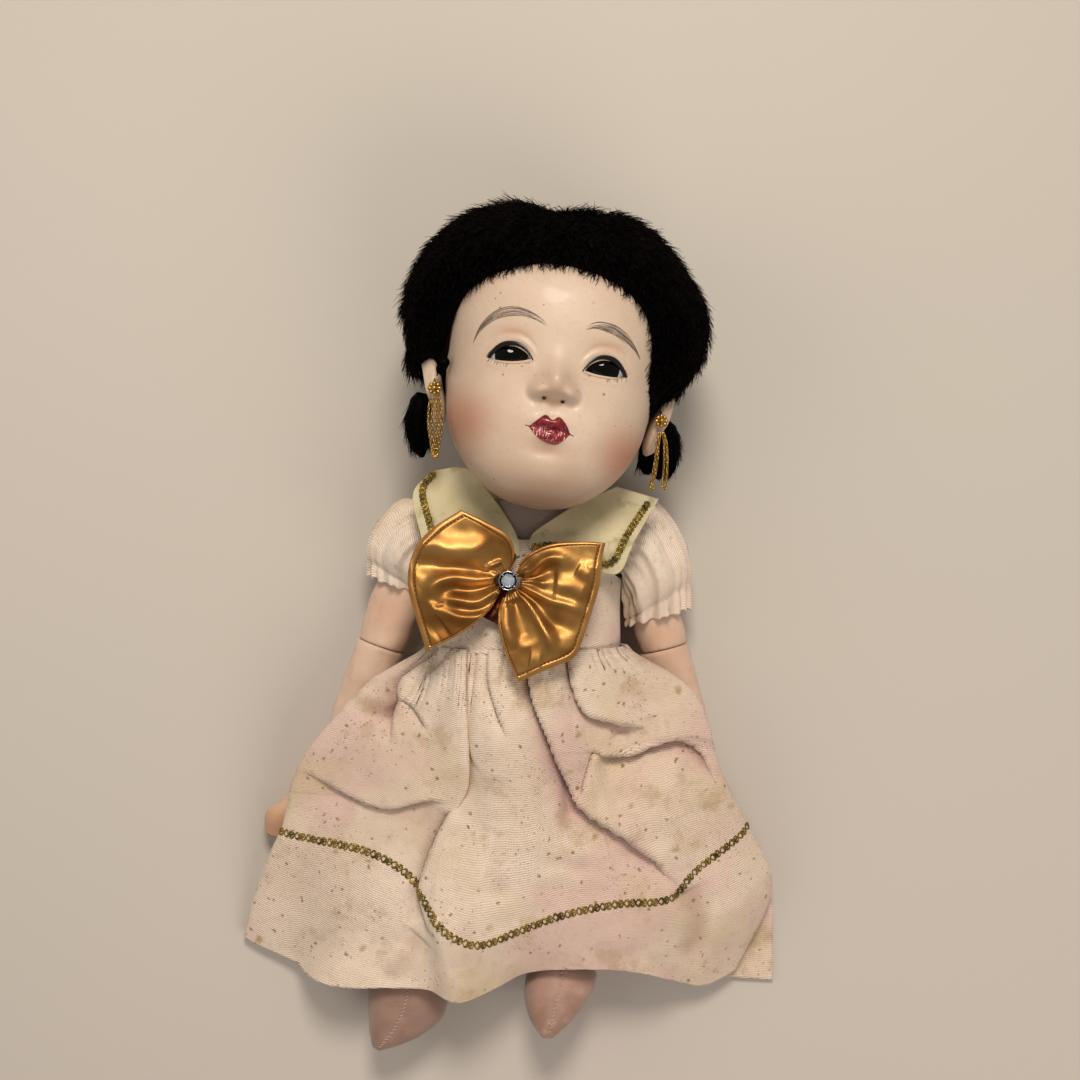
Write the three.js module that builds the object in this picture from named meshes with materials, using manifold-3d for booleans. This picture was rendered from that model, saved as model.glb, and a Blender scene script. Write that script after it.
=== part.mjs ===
// A play doll with a moulded head, a stuffed cloth body and a puff-sleeved dress,
// lying on its back. Millimetres, +Z up, head towards +Y, the doll's left side at +X.
// The origin is on the surface it lies on, under the middle of its chest.

import * as THREE from "three";
import { mergeVertices } from "three/addons/utils/BufferGeometryUtils.js";
import Module from "manifold-3d";

const wasm = await Module();
wasm.setup();

// Clearances and cloth
const seatGap = 0.3;
const dressCloth = 1.0;
const skirtCloth = 1.1;
const collarCloth = 0.9;
const undershirtCloth = 0.7;
const braidWidth = 3.3;
const braidThick = 0.8;
const cutOverrun = 40;

// Stuffed trunk, seen along its length
const trunk = {
  neckY: 30.5,
  creaseY: -30,
  halfWidth: 26.5,
  lowZ: -0.5,
  height: 43.6,
  backZ: 2.6,
};
const trunkShares = [
  [0.0, 0.86, 0.84],
  [0.16, 0.96, 0.97],
  [0.42, 0.97, 1.0],
  [0.7, 1.0, 1.0],
  [0.85, 1.0, 0.95],
  [0.93, 0.82, 0.84],
  [0.975, 0.58, 0.74],
  [1.0, 0.34, 0.66],
];
const trunkCornerPower = 2.4;

// Neck plug and the bore it turns in
const neck = { x: 5.5, z: 29, radius: 8, length: 15.5, boreRadius: 8.5, boreTopGap: 1 };

// Dress bodice
const bodice = {
  waistY: -18, shoulderY: 28, neckDipY: 15, neckDipSpread: 0.42,
  linerGap: 1.4, sideSeamDegrees: -10, armholeDegrees: 27,
};
const armhole = { bottomY: 1, topY: 5 };
const placketGap = 0.3;
const stud = { radius: 3, thick: 0.9, upperY: 16, lowerY: -8, x: 4 };
const undershirt = { halfWidth: 11.5, frontY: 8, backY: 27, lift: 0.3 };

// Collar wings
const collar = { chestZ: 46.2, neckZ: 37.6, shoulderZ: 36.8, width: 40, rise: 37, bodyHalfWidth: 32.5 };
const collarTrimShare = 0.84;
const trimHalfShare = 0.09;

// Head, in its own frame: x to the doll's left, y to the crown, z to the face
const head = {
  chinX: 1.5, chinY: 23.8, z: 41, rollDegrees: -8,
  yawDegrees: 3, height: 84.5, halfWidth: 33, halfDepth: 39,
};
const chinShare = 0.51;
const headShares = [
  [0.0, 0.03, 0.57, 0.5],
  [0.03, 0.4, 0.75, 0.2],
  [0.08, 0.57, 0.83, 0.0],
  [0.15, 0.73, 0.885, -0.26],
  [0.25, 0.85, 0.92, -0.56],
  [0.37, 0.92, 0.935, -0.8],
  [0.5, 0.955, 0.95, -0.92],
  [0.64, 1.0, 0.975, -0.97],
  [0.76, 0.96, 0.92, -0.95],
  [0.87, 0.79, 0.74, -0.82],
  [0.95, 0.52, 0.46, -0.54],
  [0.99, 0.24, 0.2, -0.26],
  [1.0, 0.03, 0.03, -0.03],
];
const headCornerPower = 2.3;
const headAround = 38;
const headAlong = 26;
const eye = { spacing: 25.9, level: -1.5, halfWidth: 6.9, halfHeight: 3.6, depth: 5, sink: 0.6 };
const nose = {
  bridge: 3, tip: -9, base: -12.8, proud: 7.6, width: 4.4,
  wingX: 4.7, wingY: -10.8, wingProud: 2.6, wingSpread: 2.2, bridgeShare: 0.55,
};
const mouth = { y: -20.5, halfWidth: 5, halfHeight: 3, proud: 2.1 };
const cheek = { x: 15, y: -17, spread: 8, proud: 1.2 };
const chin = { y: -35, spread: 6, proud: 1.4 };
const socket = { spread: 6.5, deep: 1.4 };
const ear = { x: 33.3, y: -12, z: 3, halfThick: 3.4, halfHeight: 10.5, halfDepth: 6, leanDegrees: 10 };

// Hair
const wig = { side: 14, top: 6.5, back: 3.5, crownTuft: 2.5, fringeY: 24, templeX: 29.5, cutFrontZ: 8 };
const wigEdgeShares = { right: -0.024, left: -0.107, nape: -0.32, back: -0.31 };
const fringeShares = [
  [-1.0, -2.4],
  [-1.0, 0.3],
  [-0.86, 0.66],
  [-0.5, 0.92],
  [0.0, 1.02],
  [0.5, 0.94],
  [0.84, 0.7],
  [1.0, 0.25],
  [1.0, -2.4],
];
const lock = { radius: 4.3, tip: 2 };
const rightLockShares = [[-1.23, -0.11, -0.143], [-1.306, -0.195, -0.143], [-1.165, -0.296, -0.206]];
const leftLockShares = [[0.999, -0.183, -0.23], [1.116, -0.278, -0.23], [0.973, -0.367, -0.256]];
const earLock = { radius: 1.6, tip: 0.8 };
const earLockShares = [[-0.947, -0.042, 0.425], [-0.976, -0.07, 0.383], [-0.973, -0.095, 0.353]];

// Earrings
const earring = { capRadius: 2.3, chainRadius: 0.7, drop: 19.5, halfGap: 1.6, fall: 3.5 };

// Arms
const arm = {
  shoulderY: 14, shoulderZ: 20, radius: 7.6,
  seamRadius: 7.6, wristRadius: 6.2, handHalfWidth: 7.2,
};
const armSplit = { elbow: 34, wrist: 74, tip: 102 };
const armDrop = { elbowZ: 13.5, wristZ: 8.2, tipZ: 7 };
const rightArm = { degrees: 19.5, handBend: 14, sleeveLength: 14.5 };
const leftArm = { degrees: 14.5, handBend: 3, sleeveLength: 24 };
const sleeve = {
  cuffHalf: 9.8, capRise: 13, capOut: 3.9, puff: 18, puffHeight: 15,
  rootHalf: 12.3, cloth: 0.7, pleats: 9, pleatDeep: 0.6,
};
const puffPlaceShare = 0.25;

// Pelvis and legs
const pelvis = { halfWidth: 25, length: 21, height: 31, backZ: 1.5 };
const leg = {
  hipX: 13.5, hipZ: 13, hipRadius: 11, kneeRadius: 10,
  ankleRadius: 8.6, ankleZ: 12.5, length: 55,
};
const rightLegDegrees = 23;
const leftLegDegrees = -3;

// Skirt: points of its surface as shares of half-width, length and height
const skirt = { halfWidth: 84, length: 108, height: 46, topY: -18.6, footZ: 1.7 };

// Skirt front panel, row by row from waist to hem: [across, down, up] as shares
const skirtWaistShares = [
  [-0.36, 0.0, 0.59], [-0.33, 0.0, 0.72], [-0.3, 0.0, 0.8],
  [-0.27, 0.0, 0.87], [-0.24, 0.0, 0.92], [-0.2, 0.0, 0.96],
  [-0.12, 0.0, 0.99], [-0.03, 0.0, 1.0], [0.07, 0.0, 1.0],
  [0.16, 0.0, 0.97], [0.24, 0.0, 0.91], [0.31, 0.0, 0.8],
  [0.36, 0.0, 0.63],
];
const skirtUpperShares = [
  [-0.52, 0.15, 0.61], [-0.44, 0.16, 0.67], [-0.37, 0.17, 0.74], [-0.31, 0.19, 0.8], [-0.26, 0.2, 0.87],
  [-0.22, 0.21, 0.89], [-0.15, 0.21, 0.93], [-0.04, 0.21, 0.96], [0.08, 0.2, 0.95], [0.19, 0.18, 0.89],
  [0.32, 0.15, 0.83], [0.46, 0.13, 0.72], [0.61, 0.13, 0.63],
];
const skirtMiddleShares = [
  [-0.77, 0.35, 0.46], [-0.65, 0.35, 0.54], [-0.52, 0.36, 0.63], [-0.41, 0.39, 0.7], [-0.31, 0.41, 0.72],
  [-0.23, 0.43, 0.72], [-0.12, 0.42, 0.8], [-0.01, 0.41, 0.83], [0.12, 0.39, 0.78], [0.23, 0.37, 0.76],
  [0.39, 0.33, 0.72], [0.56, 0.3, 0.67], [0.7, 0.34, 0.59],
];
const skirtBraidShares = [
  [-0.91, 0.53, 0.4], [-0.77, 0.55, 0.48], [-0.61, 0.57, 0.57], [-0.48, 0.61, 0.62], [-0.39, 0.68, 0.62],
  [-0.3, 0.79, 0.7], [-0.19, 0.83, 0.7], [-0.04, 0.8, 0.63], [0.14, 0.75, 0.63], [0.34, 0.72, 0.63],
  [0.53, 0.71, 0.54], [0.61, 0.64, 0.54], [0.81, 0.51, 0.41],
];
const skirtLowerShares = [
  [-1.01, 0.7, 0.2], [-0.82, 0.74, 0.3], [-0.65, 0.77, 0.46], [-0.49, 0.79, 0.57], [-0.37, 0.83, 0.59],
  [-0.27, 0.89, 0.71], [-0.16, 0.9, 0.65], [-0.03, 0.87, 0.57], [0.16, 0.83, 0.61], [0.38, 0.83, 0.57],
  [0.57, 0.84, 0.43], [0.69, 0.81, 0.41], [0.92, 0.71, 0.17],
];
const skirtHemShares = [
  [-1.08, 0.87, 0.06], [-0.87, 0.94, 0.13], [-0.66, 0.97, 0.35], [-0.49, 0.97, 0.5], [-0.36, 0.97, 0.57],
  [-0.25, 0.99, 0.72], [-0.14, 0.97, 0.61], [-0.01, 0.93, 0.5], [0.19, 0.91, 0.58], [0.42, 0.93, 0.46],
  [0.57, 0.98, 0.28], [0.67, 1.0, 0.17], [0.79, 0.96, 0.09],
];
const skirtRows = [
  skirtWaistShares, skirtUpperShares, skirtMiddleShares, skirtBraidShares, skirtLowerShares, skirtHemShares,
];

// Under each side the cloth turns back over the arm, then drops.
// Row by row: [turn across, turn up, foot across]
const rightWallShares = [
  [-0.345, 0.35, -0.33], [-0.49, 0.4, -0.48], [-0.645, 0.385, -0.63],
  [-0.8, 0.33, -0.79], [-1.0, 0.12, -0.98],
  [-1.07, 0.045, -1.05],
];
const leftWallShares = [
  [0.345, 0.35, 0.33], [0.42, 0.52, 0.415], [0.49, 0.42, 0.48], [0.535, 0.33, 0.525], [0.66, 0.3, 0.64],
  [0.76, 0.07, 0.74],
];
const braidRowShare = 0.6;
const skirtBraidLift = 0.85;
const skirtSideShare = 0.125;

// Creases pressed into the skirt: a path on its surface, [across, down] shares of the panel
const crease = { width: 2.6, deep: 2.4 };
const creaseShares = [
  [[0.44, 0.02], [0.44, 0.24], [0.42, 0.45]],
  [[0.56, 0.05], [0.6, 0.28], [0.64, 0.42], [0.74, 0.58]],
  [[0.66, 0.06], [0.72, 0.2], [0.82, 0.27]],
  [[0.1, 0.4], [0.22, 0.5], [0.36, 0.5]],
  [[0.28, 0.06], [0.24, 0.2]],
];
const gather = { count: 15, deep: 0.9, reachShare: 0.17 };

// Back panel of the skirt: its corner that lies free at the doll's left
const flap = { x: 79, y: -127, sideY: -101 };
const flapShares = { start: 0.7, sideEnd: 0.8, full: 0.82 };

// Bow, as shares of its half-width, from its knot
const bow = {
  x: -5.3, y: 3.1, z: 48.6, halfWidth: 30, thick: 2.2,
  puff: 3.4, knotLift: 0.2, folds: 7, foldDeep: 0.8,
};
const bowInnerShare = 0.13;
const bowPivotShare = 0.055;
const rightLoopShares = [
  [0.02, 0.14], [0.06, 0.26], [0.01, 0.43], [-0.23, 0.58],
  [-0.46, 0.69], [-0.75, 0.5], [-0.91, 0.31], [-0.98, 0.05],
  [-0.96, -0.14], [-0.8, -0.68], [-0.51, -0.54], [-0.23, -0.33], [-0.09, -0.1],
];
const leftLoopShares = [
  [-0.06, -0.22], [-0.1, -0.38], [-0.03, -0.69], [0.1, -0.99],
  [0.37, -0.87], [0.65, -0.74], [0.72, -0.59],
  [0.82, -0.29], [0.89, -0.04], [0.92, 0.24], [0.95, 0.37],
  [0.72, 0.38], [0.42, 0.36], [0.23, 0.28], [0.13, 0.2],
];
const underRibbon = { halfWidth: 3.6, length: 13, thick: 0.7, leanDegrees: -28 };
const stone = { radius: 2.15, height: 2, tableShare: 0.55, cupWall: 0.45, cupHeight: 2 };

// Collar outlines, [across, up] shares of its width and rise, from the nape end to the breast
const rightNeckShares = [
  [-0.54, 1.0], [-0.41, 0.97], [-0.3, 0.82], [-0.19, 0.66], [-0.08, 0.46], [-0.05, 0.36],
];
const rightRimShares = [
  [-0.7, 0.97], [-0.85, 0.8], [-0.78, 0.43], [-0.72, 0.1], [-0.4, 0.16], [-0.05, 0.28],
];
const leftNeckShares = [
  [0.68, 0.84], [0.46, 0.74], [0.33, 0.67], [0.19, 0.57], [0.05, 0.46], [0.02, 0.4],
];
const leftRimShares = [[0.99, 0.74], [0.8, 0.4], [0.68, 0.14], [0.52, 0.16], [0.26, 0.34], [0.02, 0.34]];

// Pelvis: [down, half width, height]
const pelvisShares = [
  [0, 0.95, 0.94], [0.3, 1, 1], [0.65, 0.98, 0.98], [0.88, 0.86, 0.86], [1, 0.62, 0.62],
];

// Bootees: [down the foot, sideways, half width, height of middle, half height]
const bootee = { length: 32.5, halfWidth: 12.6, height: 9.6 };
const rightBooteeShares = [
  [0.0, 0.0, 0.73, 1.3, 0.95], [0.18, 0.08, 0.87, 1.3, 1.0],
  [0.37, 0.22, 1.0, 1.3, 1.0], [0.55, 0.29, 0.94, 1.35, 0.96],
  [0.74, 0.26, 0.7, 1.46, 0.83], [0.89, 0.16, 0.41, 1.67, 0.62], [1.0, 0.08, 0.12, 1.82, 0.2],
];
const leftBooteeShares = [
  [0.0, 0.0, 0.73, 1.3, 0.95], [0.12, -0.04, 0.87, 1.4, 1.0],
  [0.33, 0.1, 0.76, 1.75, 0.94], [0.5, 0.2, 0.48, 2.2, 0.7],
  [0.63, 0.26, 0.14, 2.55, 0.25],
];

const colours = {
  skin: 0xe8cfae, glass: 0x14100e, hair: 0x0a0908, gold: 0xb08a3c, cloth: 0xe6d2bf, limb: 0xd9b9a2,
  plum: 0x6f6468, olive: 0xb3a67c, satin: 0xb9762a, ribbon: 0x7a4322, silver: 0xb8b8b8, stone: 0xdde2e4,
  bootee: 0xd8a892, braid: 0x8a7434,
};

const vec = (x, y, z) => new THREE.Vector3(x, y, z);
const radians = THREE.MathUtils.degToRad;
const mix = THREE.MathUtils.lerp;
const bell = (distance, spread) => Math.exp(-((distance / spread) ** 2));

// Smooth values between the rows of a table whose first column rises
function smoothTable(rows) {
  const places = rows.map((row) => row[0]);
  const values = rows.flatMap((row) => row.slice(1));
  const curve = new THREE.CubicInterpolant(places, values, rows[0].length - 1);
  return (place) => Array.from(curve.evaluate(place));
}

// Turns faces outward, whichever way the points were laid
function closedGeometry(points, faces) {
  let volume = 0;
  for (const [a, b, c] of faces) {
    volume += points[a].dot(points[b].clone().cross(points[c]));
  }
  const outward = volume > 0 ? faces : faces.map(([a, b, c]) => [a, c, b]);
  const geometry = new THREE.BufferGeometry().setFromPoints(points);
  geometry.setIndex(outward.flat());
  return geometry;
}

// Rings of points from end to end, closed by a point in the middle of each end
function ringBody(rings) {
  const count = rings[0].length;
  const points = rings.flat();
  const faces = [];
  for (let r = 0; r < rings.length - 1; r++) {
    for (let i = 0; i < count; i++) {
      const a = r * count + i;
      const b = r * count + ((i + 1) % count);
      faces.push([a, b, b + count], [a, b + count, a + count]);
    }
  }
  for (const [start, turn] of [[0, 1], [(rings.length - 1) * count, -1]]) {
    const middle = vec(0, 0, 0);
    for (let i = 0; i < count; i++) {
      middle.addScaledVector(points[start + i], 1 / count);
    }
    points.push(middle);
    for (let i = 0; i < count; i++) {
      const pair = [start + i, start + ((i + 1) % count)];
      faces.push(turn > 0 ? [points.length - 1, pair[1], pair[0]] : [points.length - 1, pair[0], pair[1]]);
    }
  }
  return closedGeometry(points, faces);
}

// A sheet of cloth: surface(u, v) is its outer side. The cloth lies under it where u runs
// to the doll's left and v to its head, and a negative thickness turns that round.
// A flat sheet is thickened straight down instead.
function clothBody(surface, across, down, thick, { closed = false, flat = false } = {}) {
  const step = 0.5 / Math.max(across, down);
  const outer = [];
  const inner = [];
  const columns = closed ? across : across + 1;
  for (let j = 0; j <= down; j++) {
    for (let i = 0; i < columns; i++) {
      const u = i / across;
      const v = j / down;
      const ahead = closed ? u + step : Math.min(u + step, 1);
      const behind = closed ? u - step : Math.max(u - step, 0);
      const alongU = surface(ahead, v).sub(surface(behind, v));
      const alongV = surface(u, Math.min(v + step, 1)).sub(surface(u, Math.max(v - step, 0)));
      const point = surface(u, v);
      outer.push(point);
      const under = flat ? vec(0, 0, -1) : alongV.cross(alongU).normalize();
      inner.push(point.clone().addScaledVector(under, thick));
    }
  }
  const faces = [];
  const back = outer.length;
  const quad = (a, b, c, d) => faces.push([a, b, c], [a, c, d]);
  for (let j = 0; j < down; j++) {
    for (let i = 0; i < (closed ? columns : columns - 1); i++) {
      const a = j * columns + i;
      const b = j * columns + ((i + 1) % columns);
      quad(a, b, b + columns, a + columns);
      quad(back + a, back + a + columns, back + b + columns, back + b);
    }
  }
  const last = down * columns;
  for (let i = 0; i < (closed ? columns : columns - 1); i++) {
    const next = (i + 1) % columns;
    quad(i, back + i, back + next, next);
    quad(last + next, back + last + next, back + last + i, last + i);
  }
  for (let j = 0; !closed && j < down; j++) {
    const a = j * columns;
    const b = a + columns - 1;
    quad(a + columns, back + a + columns, back + a, a);
    quad(b, back + b, back + b + columns, b + columns);
  }
  return closedGeometry([...outer, ...inner], faces);
}

function toSolid(geometry) {
  const plain = geometry.clone();
  plain.deleteAttribute("normal");
  plain.deleteAttribute("uv");
  const merged = mergeVertices(plain);
  const vertProperties = Float32Array.from(merged.attributes.position.array);
  const triVerts = Uint32Array.from(merged.index.array);
  return new wasm.Manifold(new wasm.Mesh({ numProp: 3, vertProperties, triVerts }));
}

function toGeometry(solid) {
  const mesh = solid.getMesh();
  const geometry = new THREE.BufferGeometry();
  geometry.setAttribute("position", new THREE.Float32BufferAttribute(mesh.vertProperties, 3));
  geometry.setIndex(Array.from(mesh.triVerts));
  return geometry;
}

function box(low, high) {
  const size = high.clone().sub(low);
  const middle = low.clone().add(high).multiplyScalar(0.5);
  return new THREE.BoxGeometry(size.x, size.y, size.z).translate(middle.x, middle.y, middle.z);
}

function tubeAlong(points, radius, steps, sides) {
  const outline = new THREE.Shape();
  for (let i = 0; i < sides; i++) {
    const turn = (2 * Math.PI * i) / sides;
    const place = [radius * Math.cos(turn), radius * Math.sin(turn)];
    if (i === 0) {
      outline.moveTo(...place);
    } else {
      outline.lineTo(...place);
    }
  }
  const path = new THREE.CatmullRomCurve3(points, false, "centripetal");
  return new THREE.ExtrudeGeometry(outline, { steps, bevelEnabled: false, extrudePath: path });
}

// A rounded square section: power 2 is an ellipse
function cornerPoint(turn, halfWide, halfHigh, power) {
  const c = Math.cos(turn);
  const s = Math.sin(turn);
  return [
    halfWide * Math.sign(c) * Math.abs(c) ** (2 / power),
    halfHigh * Math.sign(s) * Math.abs(s) ** (2 / power),
  ];
}

const object = new THREE.Group();
function add(group, name, geometry, color, roughness = 0.8, metalness = 0) {
  const mesh = new THREE.Mesh(geometry, new THREE.MeshStandardMaterial({ color, roughness, metalness }));
  mesh.name = name;
  group.add(mesh);
}

// Trunk section at a place along it, grown by a lift off its surface
const trunkTable = smoothTable(trunkShares);
const trunkLength = trunk.neckY - trunk.creaseY;
function trunkPoint(turn, y, lift, backZ) {
  const [wide, high] = trunkTable(THREE.MathUtils.clamp((y - trunk.creaseY) / trunkLength, 0, 1));
  const middleZ = trunk.lowZ + trunk.height / 2;
  const halfWide = wide * trunk.halfWidth + lift;
  const halfHigh = (high * trunk.height) / 2 + lift;
  const [x, z] = cornerPoint(turn, halfWide, halfHigh, trunkCornerPower);
  return vec(x, y, Math.max(middleZ + z, backZ));
}

function addTrunk() {
  const rings = [];
  for (const share of trunkShares.map((row) => row[0])) {
    const ring = [];
    for (let i = 0; i < 28; i++) {
      ring.push(trunkPoint((2 * Math.PI * i) / 28, trunk.creaseY + share * trunkLength, 0, trunk.backZ));
    }
    rings.push(ring);
  }
  add(object, "torso_body", ringBody(rings), colours.limb, 0.95);
  const plug = new THREE.CylinderGeometry(neck.radius, neck.radius, neck.length, 28);
  plug.translate(neck.x, trunk.neckY + seatGap + neck.length / 2, neck.z);
  add(object, "neck_plug", plug, colours.limb, 0.9);
}

function addBodice() {
  const lift = bodice.linerGap + dressCloth;
  const front = (u, v) => {
    const level = mix(bodice.waistY, bodice.shoulderY, v);
    const shape = THREE.MathUtils.smoothstep(level, armhole.bottomY, armhole.topY);
    const side = radians(mix(bodice.sideSeamDegrees, bodice.armholeDegrees, shape));
    const turn = mix(Math.PI - side, side, u);
    const dip = (bodice.shoulderY - bodice.neckDipY) * bell(Math.cos(turn), bodice.neckDipSpread);
    return trunkPoint(turn, mix(bodice.waistY, bodice.shoulderY - dip, v), lift, 0);
  };
  add(object, "bodice_front", clothBody(front, 20, 9, dressCloth), colours.cloth, 0.95);
  for (const [name, way] of [["bodice_back_left", 1], ["bodice_back_right", -1]]) {
    const half = (u, v) => {
      const y = mix(bodice.waistY, bodice.shoulderY, v);
      const shape = THREE.MathUtils.smoothstep(y, armhole.bottomY, armhole.topY);
      const seam = radians(mix(-bodice.sideSeamDegrees, bodice.armholeDegrees, shape));
      const side = -seam - (2 * seatGap) / trunk.halfWidth;
      const point = trunkPoint(mix(-Math.PI / 2, side, u), y, lift, 0);
      point.x = Math.max(point.x, placketGap / 2);
      return vec(way * point.x, point.y, point.z);
    };
    const sheet = (u, v) => half(way > 0 ? u : 1 - u, v);
    add(object, name, clothBody(sheet, 7, 9, -dressCloth), colours.cloth, 0.95);
  }
  for (const [name, y] of [["upper_back_stud", stud.upperY], ["lower_back_stud", stud.lowerY]]) {
    const disc = new THREE.CylinderGeometry(stud.radius, stud.radius, stud.thick, 16).rotateX(Math.PI / 2);
    disc.translate(stud.x, y, dressCloth + seatGap + stud.thick / 2);
    add(object, name, disc, colours.silver, 0.4, 1);
  }
  const liner = (u, v) => {
    const y = mix(undershirt.frontY, undershirt.backY, v);
    const spread = Math.asin(undershirt.halfWidth / trunk.halfWidth);
    return trunkPoint(Math.PI / 2 + mix(spread, -spread, u), y, undershirt.lift + undershirtCloth, 0);
  };
  add(object, "undershirt", clothBody(liner, 8, 4, undershirtCloth), colours.plum, 0.95);
}

// Each wing lies between its neckline and its rim
function collarSurface(neckShares, rimShares) {
  const curve = (shares) =>
    new THREE.CatmullRomCurve3(
      shares.map(([x, y]) => vec(x * collar.width, y * collar.rise, 0)), false, "centripetal",
    );
  const neckline = curve(neckShares);
  const rim = curve(rimShares);
  return (u, v) => {
    const point = neckline.getPoint(v).lerp(rim.getPoint(v), u);
    const back = THREE.MathUtils.smoothstep(point.y / collar.rise, 0.4, 1);
    const out = THREE.MathUtils.smoothstep(Math.abs(point.x) / collar.width, 0.3, 1);
    const turn = Math.acos(THREE.MathUtils.clamp(point.x / collar.bodyHalfWidth, -1, 1));
    const bodyZ = trunkPoint(turn, point.y, 0, 0).z;
    point.z = mix(mix(collar.chestZ, collar.neckZ, back), collar.shoulderZ, back * out);
    point.z = Math.max(point.z, bodyZ);
    return point;
  };
}

function addCollar() {
  const wings = [
    ["collar_right", rightNeckShares, rightRimShares],
    ["collar_left", leftNeckShares, leftRimShares],
  ];
  for (const [name, neckShares, rimShares] of wings) {
    const surface = collarSurface(neckShares, rimShares);
    const clear = (u, v) => surface(u, v).add(vec(0, 0, collarCloth));
    add(object, name, clothBody(clear, 5, 12, collarCloth, { flat: true }), colours.olive, 0.95);
    const trim = (u, v) => {
      const across = collarTrimShare + mix(-trimHalfShare, trimHalfShare, u);
      return surface(across, mix(0.03, 0.98, v)).add(vec(0, 0, collarCloth + seatGap + braidThick));
    };
    const strip = clothBody(trim, 1, 24, braidThick, { flat: true });
    add(object, name.replace("collar", "collar_trim"), strip, colours.braid, 0.5, 0.6);
  }
}

function addBow() {
  const group = new THREE.Group();
  group.position.set(bow.x, bow.y, bow.z);
  object.add(group);
  const loops = [["bow_right_loop", rightLoopShares, -1], ["bow_left_loop", leftLoopShares, 1]];
  for (const [name, shares, way] of loops) {
    const outline = new THREE.CatmullRomCurve3(shares.map(([x, y]) => vec(x, y, 0)), false, "centripetal");
    const loop = (u, v) => {
      const pivot = vec(way * bowPivotShare, 0, 0);
      const point = outline.getPoint(u).sub(pivot).multiplyScalar(mix(bowInnerShare, 1, v)).add(pivot);
      const reach = point.length();
      const fold = bow.foldDeep * Math.cos(2 * Math.PI * bow.folds * u) * (1 - v) * Math.min(reach * 3, 1);
      point.multiplyScalar(bow.halfWidth);
      point.z = bow.thick + bow.knotLift + bow.puff * Math.sin(Math.PI * Math.min(reach * 0.75, 1)) + fold;
      return point;
    };
    add(group, name, clothBody(loop, 22, 5, bow.thick, { flat: true }), colours.satin, 0.35, 0.1);
  }
  const ribbon = box(
    vec(-underRibbon.halfWidth, -underRibbon.length, -underRibbon.thick - seatGap),
    vec(underRibbon.halfWidth, underRibbon.halfWidth, -seatGap),
  );
  add(group, "bow_under_ribbon", ribbon.rotateZ(radians(underRibbon.leanDegrees)), colours.ribbon, 0.5);
  const cupBase = bow.thick + bow.knotLift + bow.foldDeep + 2 * seatGap;
  const inner = stone.radius + seatGap;
  const outer = inner + stone.cupWall;
  const cup = [[0, 0], [outer, 0], [outer, stone.cupHeight], [inner, stone.cupHeight]];
  cup.push([inner, stone.cupWall], [0, stone.cupWall]);
  const turned = (profile, sides) => {
    const body = new THREE.LatheGeometry(profile.map(([r, y]) => new THREE.Vector2(r, y)), sides);
    return body.rotateX(Math.PI / 2).translate(0, 0, cupBase);
  };
  add(group, "rhinestone_cup", turned(cup, 16), colours.silver, 0.3, 1);
  const low = stone.cupWall + seatGap;
  const cut = [[0, low], [stone.radius, low], [stone.radius, low + stone.height / 2]];
  cut.push([stone.radius * stone.tableShare, low + stone.height], [0, low + stone.height]);
  add(group, "rhinestone", turned(cut, 8), colours.stone, 0.05);
}

// The head's surface before the ears and eye pockets
const headTable = smoothTable(headShares);
function faceRelief(x, y) {
  const rise = THREE.MathUtils.clamp((nose.bridge - y) / (nose.bridge - nose.tip), 0, 1);
  const under = THREE.MathUtils.smoothstep(y, nose.base, nose.tip);
  const ridgeWidth = nose.width * mix(nose.bridgeShare, 1, rise);
  const ridge = nose.proud * rise ** 1.7 * (y < nose.tip ? under : 1) * bell(x, ridgeWidth);
  const side = Math.abs(x);
  const around = (x0, y0, spread) => bell(side - x0, spread) * bell(y - y0, spread);
  const wing = nose.wingProud * around(nose.wingX, nose.wingY, nose.wingSpread);
  const lips = mouth.proud * bell(x, mouth.halfWidth) * bell(y - mouth.y, mouth.halfHeight);
  const cheeks = cheek.proud * around(cheek.x, cheek.y, cheek.spread);
  const ball = chin.proud * bell(x, chin.spread) * bell(y - chin.y, chin.spread);
  const hollow = socket.deep * around(eye.spacing / 2, eye.level, socket.spread);
  return ridge + wing + lips + cheeks + ball - hollow;
}

function headPoint(turn, along, lift) {
  const share = (1 - Math.cos(Math.PI * along)) / 2;
  const [wide, front, back] = headTable(share);
  const middle = ((front + back) / 2) * head.halfDepth;
  const deep = ((front - back) / 2) * head.halfDepth + lift;
  const [x, z] = cornerPoint(turn, wide * head.halfWidth + lift, deep, headCornerPower);
  const endLift = lift * Math.sign(share - 0.5) * Math.abs(Math.cos(Math.PI * along)) ** 3;
  const y = (share - chinShare) * head.height + endLift;
  const facing = THREE.MathUtils.smoothstep(Math.sin(turn), 0.25, 0.75);
  return vec(x, y, middle + z + facing * faceRelief(x, y));
}

function headBody(lift, around, along) {
  const rings = [];
  for (let j = 1; j < along; j++) {
    const ring = [];
    for (let i = 0; i < around; i++) {
      const even = i / around;
      const turn = 2 * Math.PI * even - 0.42 * Math.sin(4 * Math.PI * even) * (even < 0.5 ? 1 : 0);
      ring.push(headPoint(turn, j / along, lift));
    }
    rings.push(ring);
  }
  return ringBody(rings);
}

// Surface height of the face at a place on it
function faceZ(x, y, lift) {
  let low = 0;
  let high = Math.PI;
  const along = Math.acos(THREE.MathUtils.clamp(1 - 2 * (y / head.height + chinShare), -1, 1)) / Math.PI;
  for (let i = 0; i < 30; i++) {
    const turn = (low + high) / 2;
    if (headPoint(turn, along, lift).x > x) {
      low = turn;
    } else {
      high = turn;
    }
  }
  return headPoint((low + high) / 2, along, lift).z;
}

function eyeball(grow) {
  const ball = new THREE.SphereGeometry(1, 16, 10);
  return ball.scale(eye.halfWidth + grow, eye.halfHeight + grow, eye.depth + grow);
}

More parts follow.
